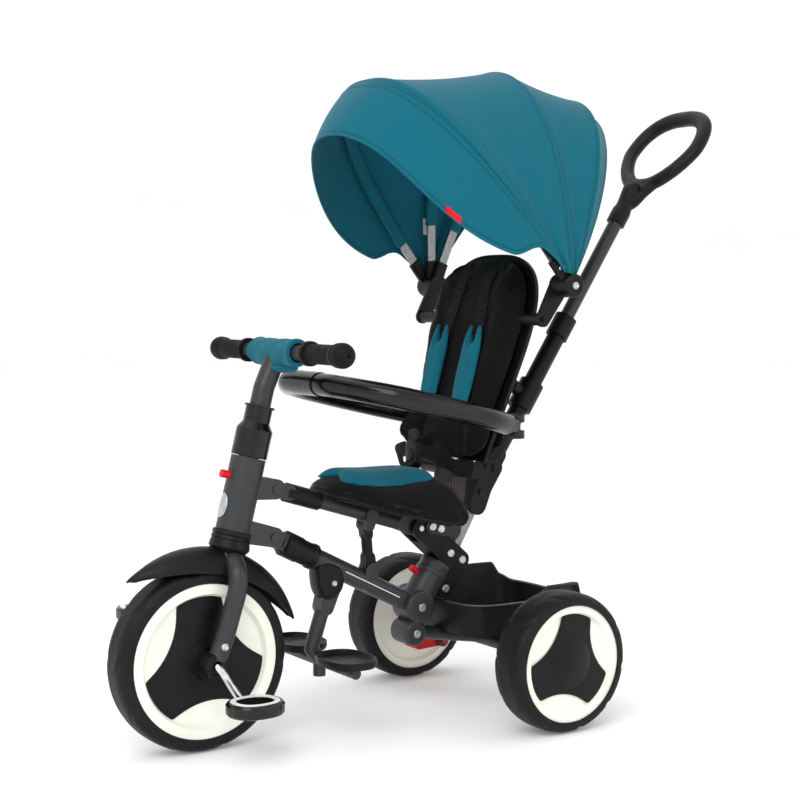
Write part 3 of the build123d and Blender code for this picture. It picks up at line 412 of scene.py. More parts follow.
def arch(turn, angle, rise, half, square, lift, sweep=(0.0, 0.0)):
    """x = half cos^(2/n), distance from the pivot = rise sin^(2/n); sweep leans the ends forward."""
    c, s = np.cos(turn), np.sin(turn)
    out = rise * s ** (2 / square)
    lean = np.radians(angle + sweep[0] * c**2 + sweep[1] * c**4)
    x = half * np.sign(c) * np.abs(c) ** (2 / square)
    return np.stack([x, PIVOT[0] + out * np.cos(lean), PIVOT[1] + lift + out * np.sin(lean)], -1)


def canopy_grid(cols=181):
    """Rows of points from the rear hem to the visor's, straight from arch to arch but for a sag."""
    turn = np.linspace(0.035, np.pi - 0.035, cols)
    low_end = np.minimum(turn, np.pi - turn)
    arches = [arch(turn, *values) for values in ARCHES.values()]
    arches[-1] = arch(turn, *ARCHES["visor_hem"], sweep=(4.7, 22.9))
    reach = 0.42 + 0.58 * smooth((low_end - 0.13) / 0.17)[:, None]
    for k in (4, 5, 6):
        arches[k] = arches[3] + reach * (arches[k] - arches[3])
    rows, seam = [], []
    for k, (count, sag) in enumerate(zip(PANEL_ROWS, PANEL_SAG)):
        f = np.linspace(0, 1, count, endpoint=False)[:, None, None]
        flat = (1 - f) * arches[k] + f * arches[k + 1]
        outward = flat - (0, PIVOT[0], PIVOT[1])
        outward[..., 0] *= 0.5
        outward /= np.linalg.norm(outward, axis=-1)[..., None]
        depth = sag * 4 * f * (1 - f) * smooth(low_end / 0.6)[:, None]
        if k in (1, 2):
            fold = np.sin(2 * np.pi * (1.6 * f + 0.15)) * (1 - smooth((low_end - 0.35) / 0.7))[:, None]
            depth = depth + 3.0 * fold * np.sin(np.pi * f)
        rows.append(flat - depth * outward)
        width = np.linalg.norm(arches[k + 1] - arches[k], axis=-1)
        seam.append(np.minimum(f[..., 0], 1 - f[..., 0]) * width)
    rows.append(arches[-1][None])
    seam.append(np.zeros((1, cols)))
    return np.concatenate(rows), np.concatenate(seam), arches


def shell(grid, thick):
    """Sheet of that thickness round a grid of points, closed along its four edges."""
    across, along = np.gradient(grid, axis=1), np.gradient(grid, axis=0)
    normal = np.cross(across, along)
    normal /= np.linalg.norm(normal, axis=-1)[..., None] + 1e-9
    rows, cols = grid.shape[:2]
    points = np.concatenate([(grid + normal * thick / 2).reshape(-1, 3),
                             (grid - normal * thick / 2).reshape(-1, 3)])
    index = np.arange(rows * cols).reshape(rows, cols)
    edge = np.concatenate([index[0, :-1], index[:-1, -1], index[-1, :0:-1], index[:0:-1, 0]])
    rim = np.stack([edge, np.roll(edge, -1), np.roll(edge, -1) + rows * cols, edge + rows * cols], -1)
    faces = grid_faces(rows, cols)
    return points, np.concatenate([faces, faces[:, ::-1] + rows * cols, rim]).tolist()


canopy_points, seam_gap, canopy_arches = canopy_grid()
print("canopy grid", canopy_points.shape)

# %% [markdown]
# The canopy's cloth carries its own flat coordinates, so the weave and the
# double stitching follow the sheet. The stitches are dashes beside each seam:
# the mesh stores how far each point is from the nearest one.

# %% Canopy cloth
def sewn(name, colour, shade, thread):
    """Woven polyester on the sheet's own coordinates, with stitches 4 mm long beside the seams."""
    mat, tree, shader, _ = start(name)
    flat = add_node(tree, "ShaderNodeTexCoord").outputs["UV"]
    slubs = mottled(tree, flat, 3.0, 0.0, 0.5, 6.0)
    cloth = two_tones(tree, slubs, colour, shade)
    gap = add_node(tree, "ShaderNodeAttribute", attribute_name="seam_gap").outputs["Fac"]
    near = add_node(tree, "ShaderNodeMath", {0: gap, 1: 0.0045, 2: 0.0009}, operation="COMPARE").outputs[0]
    split = add_node(tree, "ShaderNodeSeparateXYZ", {"Vector": flat})
    step = add_node(tree, "ShaderNodeMath", {0: split.outputs["X"], 1: 0.005}, operation="MODULO").outputs[0]
    dash = add_node(tree, "ShaderNodeMath", {0: step, 1: 0.0036}, operation="LESS_THAN").outputs[0]
    stitch = add_node(tree, "ShaderNodeMath", {0: near, 1: dash}, operation="MULTIPLY").outputs[0]
    mix = add_node(tree, "ShaderNodeMix", {"Factor": stitch, "A": cloth}, data_type="RGBA")
    mix.inputs["B"].default_value = linear(thread)
    tree.links.new(mix.outputs["Result"], shader.inputs["Base Color"])
    shader.inputs["Roughness"].default_value = 0.82
    shader.inputs["Sheen Weight"].default_value = 0.12
    shader.inputs["Sheen Roughness"].default_value = 0.4
    shader.inputs["Specular IOR Level"].default_value = 0.12
    weave = weave_height(tree, flat, 1.6)
    height = add_node(tree, "ShaderNodeMath", {0: stitch, 1: -3.0, 2: weave}, operation="MULTIPLY_ADD")
    bump = add_node(tree, "ShaderNodeBump", {"Height": height.outputs[0], "Distance": 0.00012, "Strength": 0.5})
    tree.links.new(bump.outputs["Normal"], shader.inputs["Normal"])
    return mat


CANOPY_CLOTH = sewn("teal_canopy_polyester", "#0f6274", "#0b5565", "#084552")
across = np.linalg.norm(np.diff(canopy_points, axis=1, prepend=canopy_points[:, :1]), axis=-1).cumsum(1)
along = np.linalg.norm(np.diff(canopy_points, axis=0, prepend=canopy_points[:1]), axis=-1).cumsum(0)
flat_place = np.stack([across, along], -1).reshape(-1, 2) / 1000
piping = [tube(canopy_arches[k], 1.5, 8, up=(0.0, 1.0, 0.3)) for k in (0, 1, 2, 3, 5, 6)]
piping_points = sum(len(points) for points, _ in piping)
canopy_uv = np.concatenate([flat_place, flat_place, np.zeros((piping_points, 2))])
canopy_gap = np.concatenate([seam_gap.ravel() / 1000, seam_gap.ravel() / 1000, np.ones(piping_points)])
canopy = piece("canopy_fabric", [shell(canopy_points, 1.6), *piping], CANOPY_CLOTH, None,
               sharp=60, flat_uv=canopy_uv, gap=canopy_gap)
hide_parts("canopy_rear", "canopy_middle", "canopy_front")
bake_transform(canopy)

# %% [markdown]
# Each bow runs inside a cloth sleeve and shows only near its foot, where it is
# riveted into a black fitting. Black caps with a zinc screw cover the discs.

# %% Bow sleeves, fittings and caps
BOWS = {"rear": ("canopy_back", 69.5, 159.0, 290.0), "middle": ("canopy_mid", 93.5, 166.5, 299.0),
        "front": ("canopy_fore", 129.5, 175.0, 355.0)}


def bow_line(angle, half, rise, low, high, count):
    """The bow's centre line between two turns of its superellipse, 1.5 mm out from its inner face."""
    return arch(np.linspace(low, high, count), angle, rise + 1.5, half + 1.5, 2.45, 0.0)


def around_bow(path, angle, wide, thick, sides=16):
    """Rounded box section round the bow, wide along the canopy and thin across it."""
    a = np.radians(angle)
    along_canopy = np.array((0.0, -np.sin(a), np.cos(a)))
    way = np.gradient(path, axis=0)
    way /= np.linalg.norm(way, axis=1)[:, None]
    out = np.cross(way, along_canopy)
    ring = oval(0, 0, wide / 2, thick / 2, 5, sides)
    points = path[:, None] + ring[None, :, :1] * along_canopy + ring[None, :, 1:] * out[:, None]
    faces = grid_faces(len(path), sides, False, True).tolist()
    faces += [list(range(sides)), list(range((len(path) - 1) * sides, len(path) * sides))]
    return points.reshape(-1, 3), faces


for name, (body, angle, half, rise) in BOWS.items():
    sleeve_low = 0.17 if name == "front" else 0.25
    path = bow_line(angle, half, rise, sleeve_low, np.pi - sleeve_low, 120)
    piece(f"bow_sleeve_{name}", [around_bow(path, angle, 18, 7.0)], TEAL, body, sharp=60)
    feet, rivets = [], []
    for low, high in ((0.012, 0.085), (np.pi - 0.085, np.pi - 0.012)):
        foot = bow_line(angle, half, rise, low, high, 16)
        feet.append(around_bow(foot, angle, 19, 8.5))
        middle = foot[8]
        outward = np.sign(middle[0])
        rivet = [(outward * 4, 3.4), (outward * 5.2, 2.4), (outward * 5.4, 0.1), (outward * 4, 0.1)]
        rivets.append(turned(rivet, middle, 20))
    piece(f"bow_feet_{name}", feet, SATIN_BLACK, body)
    piece(f"bow_rivets_{name}", rivets, ZINC, body)

caps = [turned([(s * 149.5, 16.6), (s * 187, 16.6), (s * 189, 14.6), (s * 189, 0.1), (s * 149.5, 0.1)],
               (0.0, *PIVOT), 48) for s in (1, -1)]
piece("canopy_hub_caps", caps, SATIN_BLACK, "canopy_mount")
screws = [turned([(s * 189, 5.5), (s * 190.5, 5.0), (s * 191.2, 3.4), (s * 190.2, 2.6), (s * 190.2, 0.1),
                  (s * 189, 0.1)], (0.0, *PIVOT), 32) for s in (1, -1)]
piece("canopy_hub_screws", screws, ZINC, "canopy_mount")

# %% [markdown]
# ## Wheels
# Each tyre is one ring turned about its axle. Long shallow grooves sweep from
# the shoulder to the tread, so the radius dips along slanted lines. The tri-lobed
# cover is a flat dome whose rim follows three smooth lobes.

# %% Tyres and covers
def tyre(name, node, body, cad_rim):
    """Rounded box profile; grooves sink where the sine of angle and slant is high, at the shoulders."""
    low, high = (np.array(v) * 1000 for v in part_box(node))
    half, radius = (high[0] - low[0]) / 2, (high[2] - low[2]) / 2
    centre = ((high[0] + low[0]) / 2, (high[1] + low[1]) / 2 - AXLE[1] * 1000, (high[2] + low[2]) / 2)
    lean = np.radians(np.linspace(-90, 90, 37))
    x = half * np.sign(np.sin(lean)) * np.abs(np.sin(lean)) ** 0.7
    r = radius - 17 * (1 - np.abs(np.cos(lean)) ** 0.55)
    profile = [(-half, cad_rim), *zip(x, r), (half, cad_rim)]

    def groove(turn, x_at, r_at):
        slant = 3.5 * np.abs(x_at) / half
        ridge = smooth((np.sin(10 * turn + slant) - 0.80) / 0.2)
        shoulder = smooth((np.abs(x_at) / half - 0.3) / 0.3) * (1 - smooth((np.abs(x_at) / half - 0.93) / 0.07))
        line = smooth(1 - np.abs(np.abs(x_at) / half - 0.22) / 0.1)
        return -1.9 * ridge * shoulder * (r_at > cad_rim + 2) - 1.1 * line * (r_at > radius - 3)

    obj = piece(name, [turned(profile, centre, 200, groove)], FOAM, body, sharp=50)
    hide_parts(node)
    return centre, half


def lobed_cover(centre, x_in, x_out, size, phase, side):
    """Disc with three bites out of its rim, each a circle of radius 1.14 centred 1.76 radii out."""
    a = np.linspace(0, 2 * np.pi, 180, endpoint=False)
    from_bite = (a - np.radians(phase)) % (2 * np.pi / 3) - np.pi / 3
    bite = 1.76 * np.cos(from_bite) - np.sqrt(np.maximum(1.14**2 - (1.76 * np.sin(from_bite)) ** 2, 0.0))
    bite = np.where(np.abs(1.76 * np.sin(from_bite)) < 1.14, bite, 2.0)
    rim_at = size * (bite**-22 + 1.0) ** (-1 / 22)
    share = np.array([0.02, 0.3, 0.5, 0.75, 0.92, 0.975, 1.0, 1.0, 0.97, 0.6, 0.02])
    lift = np.array([2.6, 2.2, 1.6, 0.9, 0.3, 0.0, -0.8, -2.2, -3.0, -3.0, -3.0])
    r = share[:, None] * rim_at[None]
    x = np.broadcast_to((x_out + side * lift)[:, None], r.shape)
    points = np.stack([centre[0] + x, centre[1] + r * np.cos(a), centre[2] + r * np.sin(a)], -1)
    return points.reshape(-1, 3), grid_faces(len(share), 180, True, True).tolist()


WHEELS = {"front": ("front_wheel", 105.3, 19.0, 95), "left": ("rear_wheel_left", 83.2, 22.0, 80),
          "right": ("rear_wheel_right", 83.2, 22.0, 80)}
for name, (body, cad_rim, face, phase) in WHEELS.items():
    hub, half = tyre(f"foam_tyre_{name}", f"tyre_{name}", body, cad_rim)
    sides = {"front": (1, -1), "left": (1,), "right": (-1,)}[name]
    discs = [lobed_cover(hub, side * face, side * (face + 1.5), 0.86 * cad_rim - 1, phase, side)
             for side in sides]
    cover = piece(f"lobed_cover_{name}", discs, SATIN_BLACK, body, sharp=50)
    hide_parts(f"cover_{name}")

# %% [markdown]
# The front hub has a black cone on each side that fills the way to the fork,
# and a black boot on each fork end. The rear axle ends behind its covers.

# %% Hub cones, boots and rear axle
FRONT_HUB = (0.0, -470.0, 125.0)
cones = [turned([(s * 17, 30), (s * 21, 26), (s * 30, 22), (s * 33.5, 21), (s * 33.5, 6.5), (s * 17, 6.5)],
                FRONT_HUB, 48) for s in (1, -1)]
piece("front_hub_cones", cones, SATIN_BLACK, "front_wheel")
boots = [turned([(s * 34, 17), (s * 51, 17.4), (s * 56, 15.5), (s * 58.5, 11), (s * 58.5, 6.5), (s * 34, 6.5)],
                FRONT_HUB, 48) for s in (1, -1)]
piece("fork_end_boots", boots, SATIN_BLACK, "steering_unit")
axle_profile = [(-216, 0.1), (-216, 5), (216, 5), (216, 0.1)]
rear_axle = piece("rear_axle_rod", [turned(axle_profile, (0.0, 0.0, 100.0), 32)], ZINC, "rear_arm")
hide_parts("rear_axle")
for name, side in (("left", 1), ("right", -1)):
    cap = [(side * 216, 38), (side * 220, 37.6), (side * 223, 34), (side * 227, 24), (side * 230, 12),
           (side * 231, 0.1), (side * 216, 0.1)]
    piece(f"rear_hub_cap_{name}", [turned(cap, (0.0, 0.0, 100.0), 64)], SATIN_BLACK, f"rear_wheel_{name}",
          sharp=60)

# %% [markdown]
# ## Cranks
# The cranks are one bent and chromed rod: it steps down from the axle to each
# pedal in a soft S, so it is a tube along a smooth curve.

# %% Cranks
crank_lean = np.radians(31.5)
crank_down = np.array((np.sin(crank_lean), -np.cos(crank_lean)))


def curve_through(points, count):
    """Open Catmull-Rom curve, its ends doubled, as count points."""
    points = np.asarray(points, float)
    padded_points = np.concatenate([points[:1], points, points[-1:]])
    t = np.linspace(0, len(points) - 1 - 1e-6, count)
    k = np.floor(t).astype(int)
    f = (t - k)[:, None]
    p0, p1, p2, p3 = (padded_points[k + shift] for shift in range(4))
    return 0.5 * (2 * p1 + (p2 - p0) * f + (2 * p0 - 5 * p1 + 4 * p2 - p3) * f**2
                  + (3 * p1 - p0 - 3 * p2 + p3) * f**3)


rods = []
for side in (1, -1):
    down = np.array([0, 2, 14, 34, 52, 57, 57]) * side
    across_hub = np.array([50, 58, 63.5, 65, 68, 74, 92]) * side
    path = np.c_[across_hub, FRONT_HUB[1] + down * crank_down[0], FRONT_HUB[2] + down * crank_down[1]]
    rods.append(tube(curve_through(path, 70), 5.2, 20, up=(0.0, -crank_down[1], crank_down[0])))
axle_rod = tube(np.c_[np.linspace(-51, 51, 8), np.full(8, FRONT_HUB[1]), np.full(8, FRONT_HUB[2])], 5.2, 20)
cranks = piece("crank_rod", [*rods, axle_rod], CHROME, "crankset", sharp=60)
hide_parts("cranks")

# %% [markdown]
# ## Fork and fender
# The fork legs are bent tubes that spring from the crown and turn down past
# the wheel. The fender is a leaf: widest in the middle, pointed at both ends.

# %% Fork
CROWN = np.array((-426.0, 257.0))
legs = []
for side in (1, -1):
    path = [(side * 12, CROWN[0], CROWN[1] + 1), (side * 28, CROWN[0] - 1, CROWN[1] - 3),
            (side * 42, CROWN[0] - 5, CROWN[1] - 15), (side * 47, -434, 222), (side * 47, -442, 195),
            (side * 47, -454, 158), (side * 47, -466, 131)]
    legs.append(tube(curve_through(path, 90), 13.0, 32, up=(0.0, 1.0, 0.35)))
head_way = np.array((-421.6, 275.0)) + np.linspace(-28, 127, 12)[:, None] * np.array((0.2452, 0.9695))
steerer = tube(np.c_[np.zeros(12), head_way], [24, 24] + [14] * 10, 40, up=(1.0, 0.0, 0.0))
fork = piece("fork_tubes", [*legs, steerer], GREY_COAT, "steering_unit", sharp=50)
fork_bolts = [turned([(side * 58, 5.6), (side * 61.5, 5.0), (side * 62.6, 3.4), (side * 61.6, 2.4),
                      (side * 61.6, 0.1), (side * 58, 0.1)], (0.0, -459.5, 150.0), 28) for side in (1, -1)]
piece("fork_bolts", fork_bolts, ZINC, "steering_unit")
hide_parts("fork")
bell_heights = np.array([21, 20, 15, 14, 9, 8, 2, -3, -9])[:, None]
bell_path = np.c_[np.zeros(9), np.array((-421.6, 275.0)) + bell_heights * np.array((0.2452, 0.9695))]
bell = tube(bell_path, [23.5, 27, 27.5, 26, 28, 26.4, 28, 28.5, 24], 40, up=(1.0, 0.0, 0.0))
piece("crown_bell", [bell], SATIN_BLACK, "steering_unit", sharp=40)


# %% [markdown]
# The fender is moulded as one thin leaf. A grid of points gives its outline and
# the drop of its sides in one formula, and a shell gives it its wall.

# %% Fender
def fender_grid(rows=90, cols=33):
    """Half width 32 (1 - s^2.6) at a share s of the way to either tip; the sides drop as x to the 2.6."""
    angle = np.radians(np.linspace(14, 132, rows))[:, None]
    s = np.linspace(-1, 1, rows)[:, None]
    across_it = np.linspace(-1, 1, cols)[None]
    half = 5 + 27.5 * (1 - np.abs(s) ** 3.0)
    drop = 6 + 27 * (1 - np.abs(s) ** 2.2)
    flare = 1.5 * smooth((np.abs(s) - 0.8) / 0.2)
    radius = 151.0 + flare - drop * np.abs(across_it) ** 2.6
    angle = angle + 0.05 * np.abs(across_it) ** 2 * np.sign(-s) * np.abs(s)
    back, up = radius * np.cos(angle), radius * np.sin(angle)
    return np.stack([half * across_it, FRONT_HUB[1] + back, FRONT_HUB[2] + up], -1)


fender = piece("fender_leaf", [shell(fender_grid(), 2.4)], SATIN_BLACK, "steering_unit",
               sharp=50)
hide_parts("fender")

# %% [markdown]
# ## Pedals
# A pedal is a fat oval moulding with a white ring on its top and underside and
# a sunk oval of rubber spikes to stand on. The spikes are small cones in rows.

# %% Pedals
def stacked(loops, heights):
    """Loops one above another, as a closed ring-shaped solid: the last joins the first."""
    points = np.concatenate([np.c_[loop, np.full(len(loop), z)] for loop, z in zip(loops, heights)])
    return points, grid_faces(len(loops), len(loops[0]), True, True).tolist()


for name, side in (("left", 1), ("right", -1)):
    low, high = (np.array(v) * 1000 - (0, AXLE[1] * 1000, 0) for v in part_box(f"pedal_{name}"))
    x, y, z = (low + high) / 2
    wide, deep, half = (high[0] - low[0]) / 2, (high[1] - low[1]) / 2, (high[2] - low[2]) / 2

    def at(share, sides=72):
        return oval(x, y, wide * share, deep * share, 2.3, sides)

    body_loops = [at(s) for s in (0.62, 0.66, 0.86, 0.94, 1.0, 1.0, 0.94, 0.86, 0.66, 0.62)]
    body_z = z + half * np.array([0.2, 0.88, 0.9, 0.85, 0.55, -0.55, -0.85, -0.9, -0.88, -0.2])
    floor_loops = [at(s) for s in (0.64, 0.3, 0.02, 0.02, 0.3, 0.64)]
    floor_z = z + half * np.array([0.15, 0.25, 0.3, -0.3, -0.25, -0.15])
    obj = piece(f"pedal_body_{name}", [stacked(body_loops, body_z), stacked(floor_loops, floor_z)], GLOSS_BLACK,
                f"pedal_unit_{name}")
    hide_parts(f"pedal_{name}")
    rings = []
    for face in (1, -1):
        ring_loops = [at(s) for s in (0.655, 0.67, 0.8, 0.845, 0.845, 0.655)]
        rings.append(stacked(ring_loops, z + face * half * np.array([0.94, 1.0, 1.0, 0.94, 0.8, 0.8])))
    piece(f"pedal_ring_{name}", rings, WHITE, f"pedal_unit_{name}")
    gx, gy = np.meshgrid(np.linspace(-1, 1, 7), np.linspace(-1, 1, 9))
    keep = gx**2 + gy**2 < 1.05
    spikes = []
    for px, py in np.stack([gx[keep] * wide * 0.52, gy[keep] * deep * 0.52], -1):
        for face in (1, -1):
            spikes.append(stacked([oval(x + px, y + py, r, r, 2, 10) for r in (0.01, 0.9, 1.9, 0.01)],
                                  z + face * half * np.array([0.92, 0.84, 0.1, 0.1])))
    piece(f"pedal_spikes_{name}", spikes, GRIP_RUBBER, f"pedal_unit_{name}")

# %% [markdown]
# ## Padded pieces
# A pad is a loop seen from above with a height for its top and one for its
# underside. Rings of the loop shrink to the middle, and the thickness follows
# a rounded curve, so the edge is soft all round and the form is closed.


# %% Pillow helper
def smooth_loop(corners, count=96):
    """Closed Catmull-Rom curve through the corners, as count points."""
    corners = np.asarray(corners, float)
    t = np.linspace(0, len(corners), count, endpoint=False)
    k = np.floor(t).astype(int)
    f = (t - k)[:, None]
    p0, p1, p2, p3 = (corners[(k + shift) % len(corners)] for shift in (-1, 0, 1, 2))
    return 0.5 * (2 * p1 + (p2 - p0) * f + (2 * p0 - 5 * p1 + 4 * p2 - p3) * f**2
                  + (3 * p1 - p0 - 3 * p2 + p3) * f**3)


def pillow(loop, centre, top, bottom, place, rings=16, roundness=5.0):
    """Points at a share s of the way out to the loop; height = middle +- half sqrt(1 - s^roundness)."""
    s = np.sin(np.linspace(0, np.pi / 2, rings))
    share = np.concatenate([s, s[::-1][1:]])[:, None, None]
    side = np.concatenate([np.ones(rings), -np.ones(rings - 1)])[:, None]
    flat = np.asarray(centre) + share * (loop - centre)
    upper, lower = top(flat[..., 0], flat[..., 1]), bottom(flat[..., 0], flat[..., 1])
    bulge = np.sqrt(np.clip(1 - share[..., 0] ** roundness, 0, 1))
    height = (upper + lower) / 2 + side * (upper - lower) / 2 * bulge
    points = place(flat[..., 0], flat[..., 1], height).reshape(-1, 3)
    return points, grid_faces(*flat.shape[:2], False, True).tolist()


def level(x, y, z):
    """Loop in X and Y, height along Z."""
    return np.stack([x, y, z], -1)


# %% [markdown]
# The padding is blown up by a short cloth simulation: the pad is remeshed
# evenly, pressed from inside for twenty frames with no gravity, and no point
# may move further than a cap. Seams are pressed in afterwards, each a groove
# with a bead of piping in it.

# %% Inflate and seam
def points_of(obj):
    """The mesh's points as an array in metres."""
    co = np.zeros(len(obj.data.vertices) * 3)
    obj.data.vertices.foreach_get("co", co)
    return co.reshape(-1, 3)


def use_modifier(obj, kind, **settings):
    """Adds a modifier and applies it."""
    modifier = obj.modifiers.new(kind.title(), kind)
    for key, value in settings.items():
        setattr(modifier, key, value)
    bpy.context.view_layer.objects.active = obj
    bpy.ops.object.modifier_apply(modifier=modifier.name)


def inflate(obj, voxel, cap, pressure=4.0, frames=20):
    """Even mesh of that voxel size in mm, blown up by pressure, with a cap on the movement in mm."""
    use_modifier(obj, "REMESH", mode="VOXEL", voxel_size=voxel / 1000)
    before = points_of(obj)
    cloth = obj.modifiers.new("Cloth", "CLOTH")
    cloth.settings.use_pressure = True
    cloth.settings.uniform_pressure_force = pressure
    cloth.settings.effector_weights.gravity = 0
    cloth.settings.quality = 6
    for frame_number in range(1, frames + 1):
        bpy.context.scene.frame_set(frame_number)
    graph = bpy.context.evaluated_depsgraph_get()
    after = np.array([v.co for v in obj.evaluated_get(graph).data.vertices])
    obj.modifiers.remove(cloth)
    bpy.context.scene.frame_set(1)
    move = after - before
    length = np.linalg.norm(move, axis=1)[:, None]
    move *= np.tanh(length / (cap / 1000)) * (cap / 1000) / np.maximum(length, 1e-9)
    obj.data.vertices.foreach_set("co", (before + move).ravel())
    use_modifier(obj, "SUBSURF", levels=1, render_levels=1)
    obj.data.polygons.foreach_set("use_smooth", np.ones(len(obj.data.polygons), bool))


def press_seams(obj, gap_from, deep=2.6, bead=1.9, width=5.5):
    """Moves points along their normals: a groove exp(-(gap/width)^2) with a bead in the middle.
    gap_from gives each point's distance to the nearest seam in mm."""
    co = points_of(obj)
    normals = np.zeros(co.size)
    obj.data.vertices.foreach_get("normal", normals)
    gap = gap_from((co - (0, AXLE[1], 0)) * 1000)
    move = -deep * np.exp(-(gap / width) ** 2) + bead * np.exp(-(gap / (width * 0.36)) ** 2)
    obj.data.vertices.foreach_set("co", (co + normals.reshape(-1, 3) * move[:, None] / 1000).ravel())


print("pad helpers ready")

# %% [markdown]
# ## Seat
# The seat is a black cushion that drops away at its sides, over a sloping pan.
# A thick teal insert with its own piping lies on it. Two rows of piping run
# round the cushion's side.

# %% Seat cushion
SEAT_CORNERS = [(84, -87), (109, -108), (114, -158), (104, -214), (76, -256), (34, -277), (0, -281)]
SEAT_LOOP = smooth_loop(SEAT_CORNERS + [(-x, y) for x, y in SEAT_CORNERS[:-1]][::-1])
SEAT_MIDDLE = np.array((0.0, -165.0))


def seat_top(x, y):
    """Flat in the middle, down 36 mm at the sides, a little higher towards the front."""
    return 353 - 36 * np.abs(x / 112) ** 2.4 + 4 * smooth((-y - 190) / 80) - 6 * smooth((-y - 245) / 40)


def seat_under(x, y):
    """The pan's slope, 17 degrees, with the overhang beyond its edge hanging 8 mm lower."""
    overhang = smooth((np.hypot(x / 114, (y + 150) / 131) - 0.6) / 0.4)
    return 289.5 - (y + 84) * np.tan(np.radians(17)) - 24 * overhang


def seat_gap(co):
    """Distance to two rows of piping, 9 mm and 27 mm below the top at the side."""
    x, y, z = co.T
    edge = smooth((np.hypot(x / 112, (y + 165) / 118) - 0.78) / 0.1)
    drop = seat_top(x, y) - z
    rows = np.minimum(np.abs(drop - 10), np.abs(drop - 30 - 0.06 * (y + 165)))
    return rows + 40 * (1 - edge)


cushion = piece("seat_cushion_cloth", [pillow(SEAT_LOOP, SEAT_MIDDLE, seat_top, seat_under, level)],
                BLACK_CLOTH, None, sharp=180)
inflate(cushion, 5, 5)
press_seams(cushion, seat_gap)
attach(cushion, "frame")
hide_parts("seat_cushion")

INSERT_CORNERS = [(44, -112), (60, -150), (66, -200), (60, -244), (36, -264), (12, -258), (0, -252)]
INSERT_LOOP = smooth_loop(INSERT_CORNERS + [(-x, y) for x, y in INSERT_CORNERS[:-1]][::-1])


def insert_gap(co):
    """Distance to the piping round the insert's side."""
    x, y, z = co.T
    edge = smooth((np.hypot(x / 66, (y + 185) / 76) - 0.8) / 0.12)
    return np.abs(seat_top(x, y) + 4.5 - z) + 40 * (1 - edge)


insert = piece("seat_insert_cloth", [pillow(INSERT_LOOP, (0.0, -185.0), lambda x, y: seat_top(x, y) + 12,
                                            lambda x, y: seat_top(x, y) - 3, level)], TEAL, None,
               sharp=180)
inflate(insert, 4, 3)
press_seams(insert, insert_gap, deep=1.6, bead=1.4, width=4)
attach(insert, "frame")

# %% [markdown]
# ## Backrest
# The pad is drawn in the backrest's own plane: across, up from the recline
# hinge, and out towards the child. Side bolsters are set off by a curved seam,
# and a second seam follows the edge.

# %% Backrest pad
HINGE = np.array((-52.6, 361.7))
LEAN = np.radians(15.3)
BACK_CORNERS = [(80, 16), (95, 90), (110, 160), (116, 232), (102, 286), (62, 316), (0, 324)]
BACK_LOOP = smooth_loop(BACK_CORNERS + [(-x, v) for x, v in BACK_CORNERS[:-1]][::-1])


def on_back(x, v, out):
    """Across, up the backrest and out of it, to the side view."""
    y = HINGE[0] + v * np.sin(LEAN) - out * np.cos(LEAN)
    z = HINGE[1] + v * np.cos(LEAN) + out * np.sin(LEAN)
    return np.stack([x, y, z], -1)


def back_place(co):
    """The reverse of on_back: across, up and out."""
    y, z = co[:, 1] - HINGE[0], co[:, 2] - HINGE[1]
    return co[:, 0], y * np.sin(LEAN) + z * np.cos(LEAN), -y * np.cos(LEAN) + z * np.sin(LEAN)


def back_front(x, v):
    """Front of the pad: bolsters rise 6 mm beside a flatter middle."""
    return 27 + 5 * np.exp(-((np.abs(x) - 78) / 22) ** 2) - 5 * smooth((v - 270) / 50)


def back_gap(co):
    """Distance to the bolster seam, the edge seam and the seam between the straps."""
    x, v, out = back_place(co)
    bolster = np.abs(np.abs(x) - 52 - 26 * smooth((v - 120) / 180) ** 2) + 60 * smooth((v - 296) / 8)
    half = 92 + 26 * smooth((v - 30) / 180) - 62 * smooth((v - 235) / 80)
    rim = np.abs(np.abs(x) - half + 3)
    cross = np.abs(v - 262) + 60 * smooth((np.abs(x) - 26) / 6)
    return np.minimum(np.minimum(bolster, rim), cross) + 60 * (out < 12)


back_form = pillow(BACK_LOOP, (0.0, 175.0), back_front, lambda x, v: 0 * x + 3.4, on_back)
back_pad = piece("backrest_cloth", [back_form],
                 BLACK_CLOTH, None, sharp=180)
inflate(back_pad, 5, 5)
press_seams(back_pad, back_gap)
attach(back_pad, "backrest")
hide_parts("backrest_pad")

# %% [markdown]
# ## Harness
# Ribbed webbing comes over the pad, under two teal shoulder pads and down to
# the buckle. A strap is a flat bar along a path that lies on the pad's real
# surface, found by looking for it from in front.

# %% Straps


def lie_on(obj, x, v, lift):
    """Places on the backrest where a line towards it meets the piece, lifted off it."""
    graph = bpy.context.evaluated_depsgraph_get()
    tree = BVHTree.FromObject(obj, graph)
    toward = Vector((0, np.cos(LEAN), -np.sin(LEAN)))
    found = []
    for here in to_frame(on_back(x, v, np.full(len(x), 90.0))):
        hit = tree.ray_cast(Vector(here), toward)[0]
        found.append(90 - (hit - Vector(here)).length * 1000 if hit else 4.0)
    kernel = np.ones(9) / 9
    out = np.convolve(np.pad(found, 4, mode="edge"), kernel, "valid")
    return on_back(x, v, out + lift)


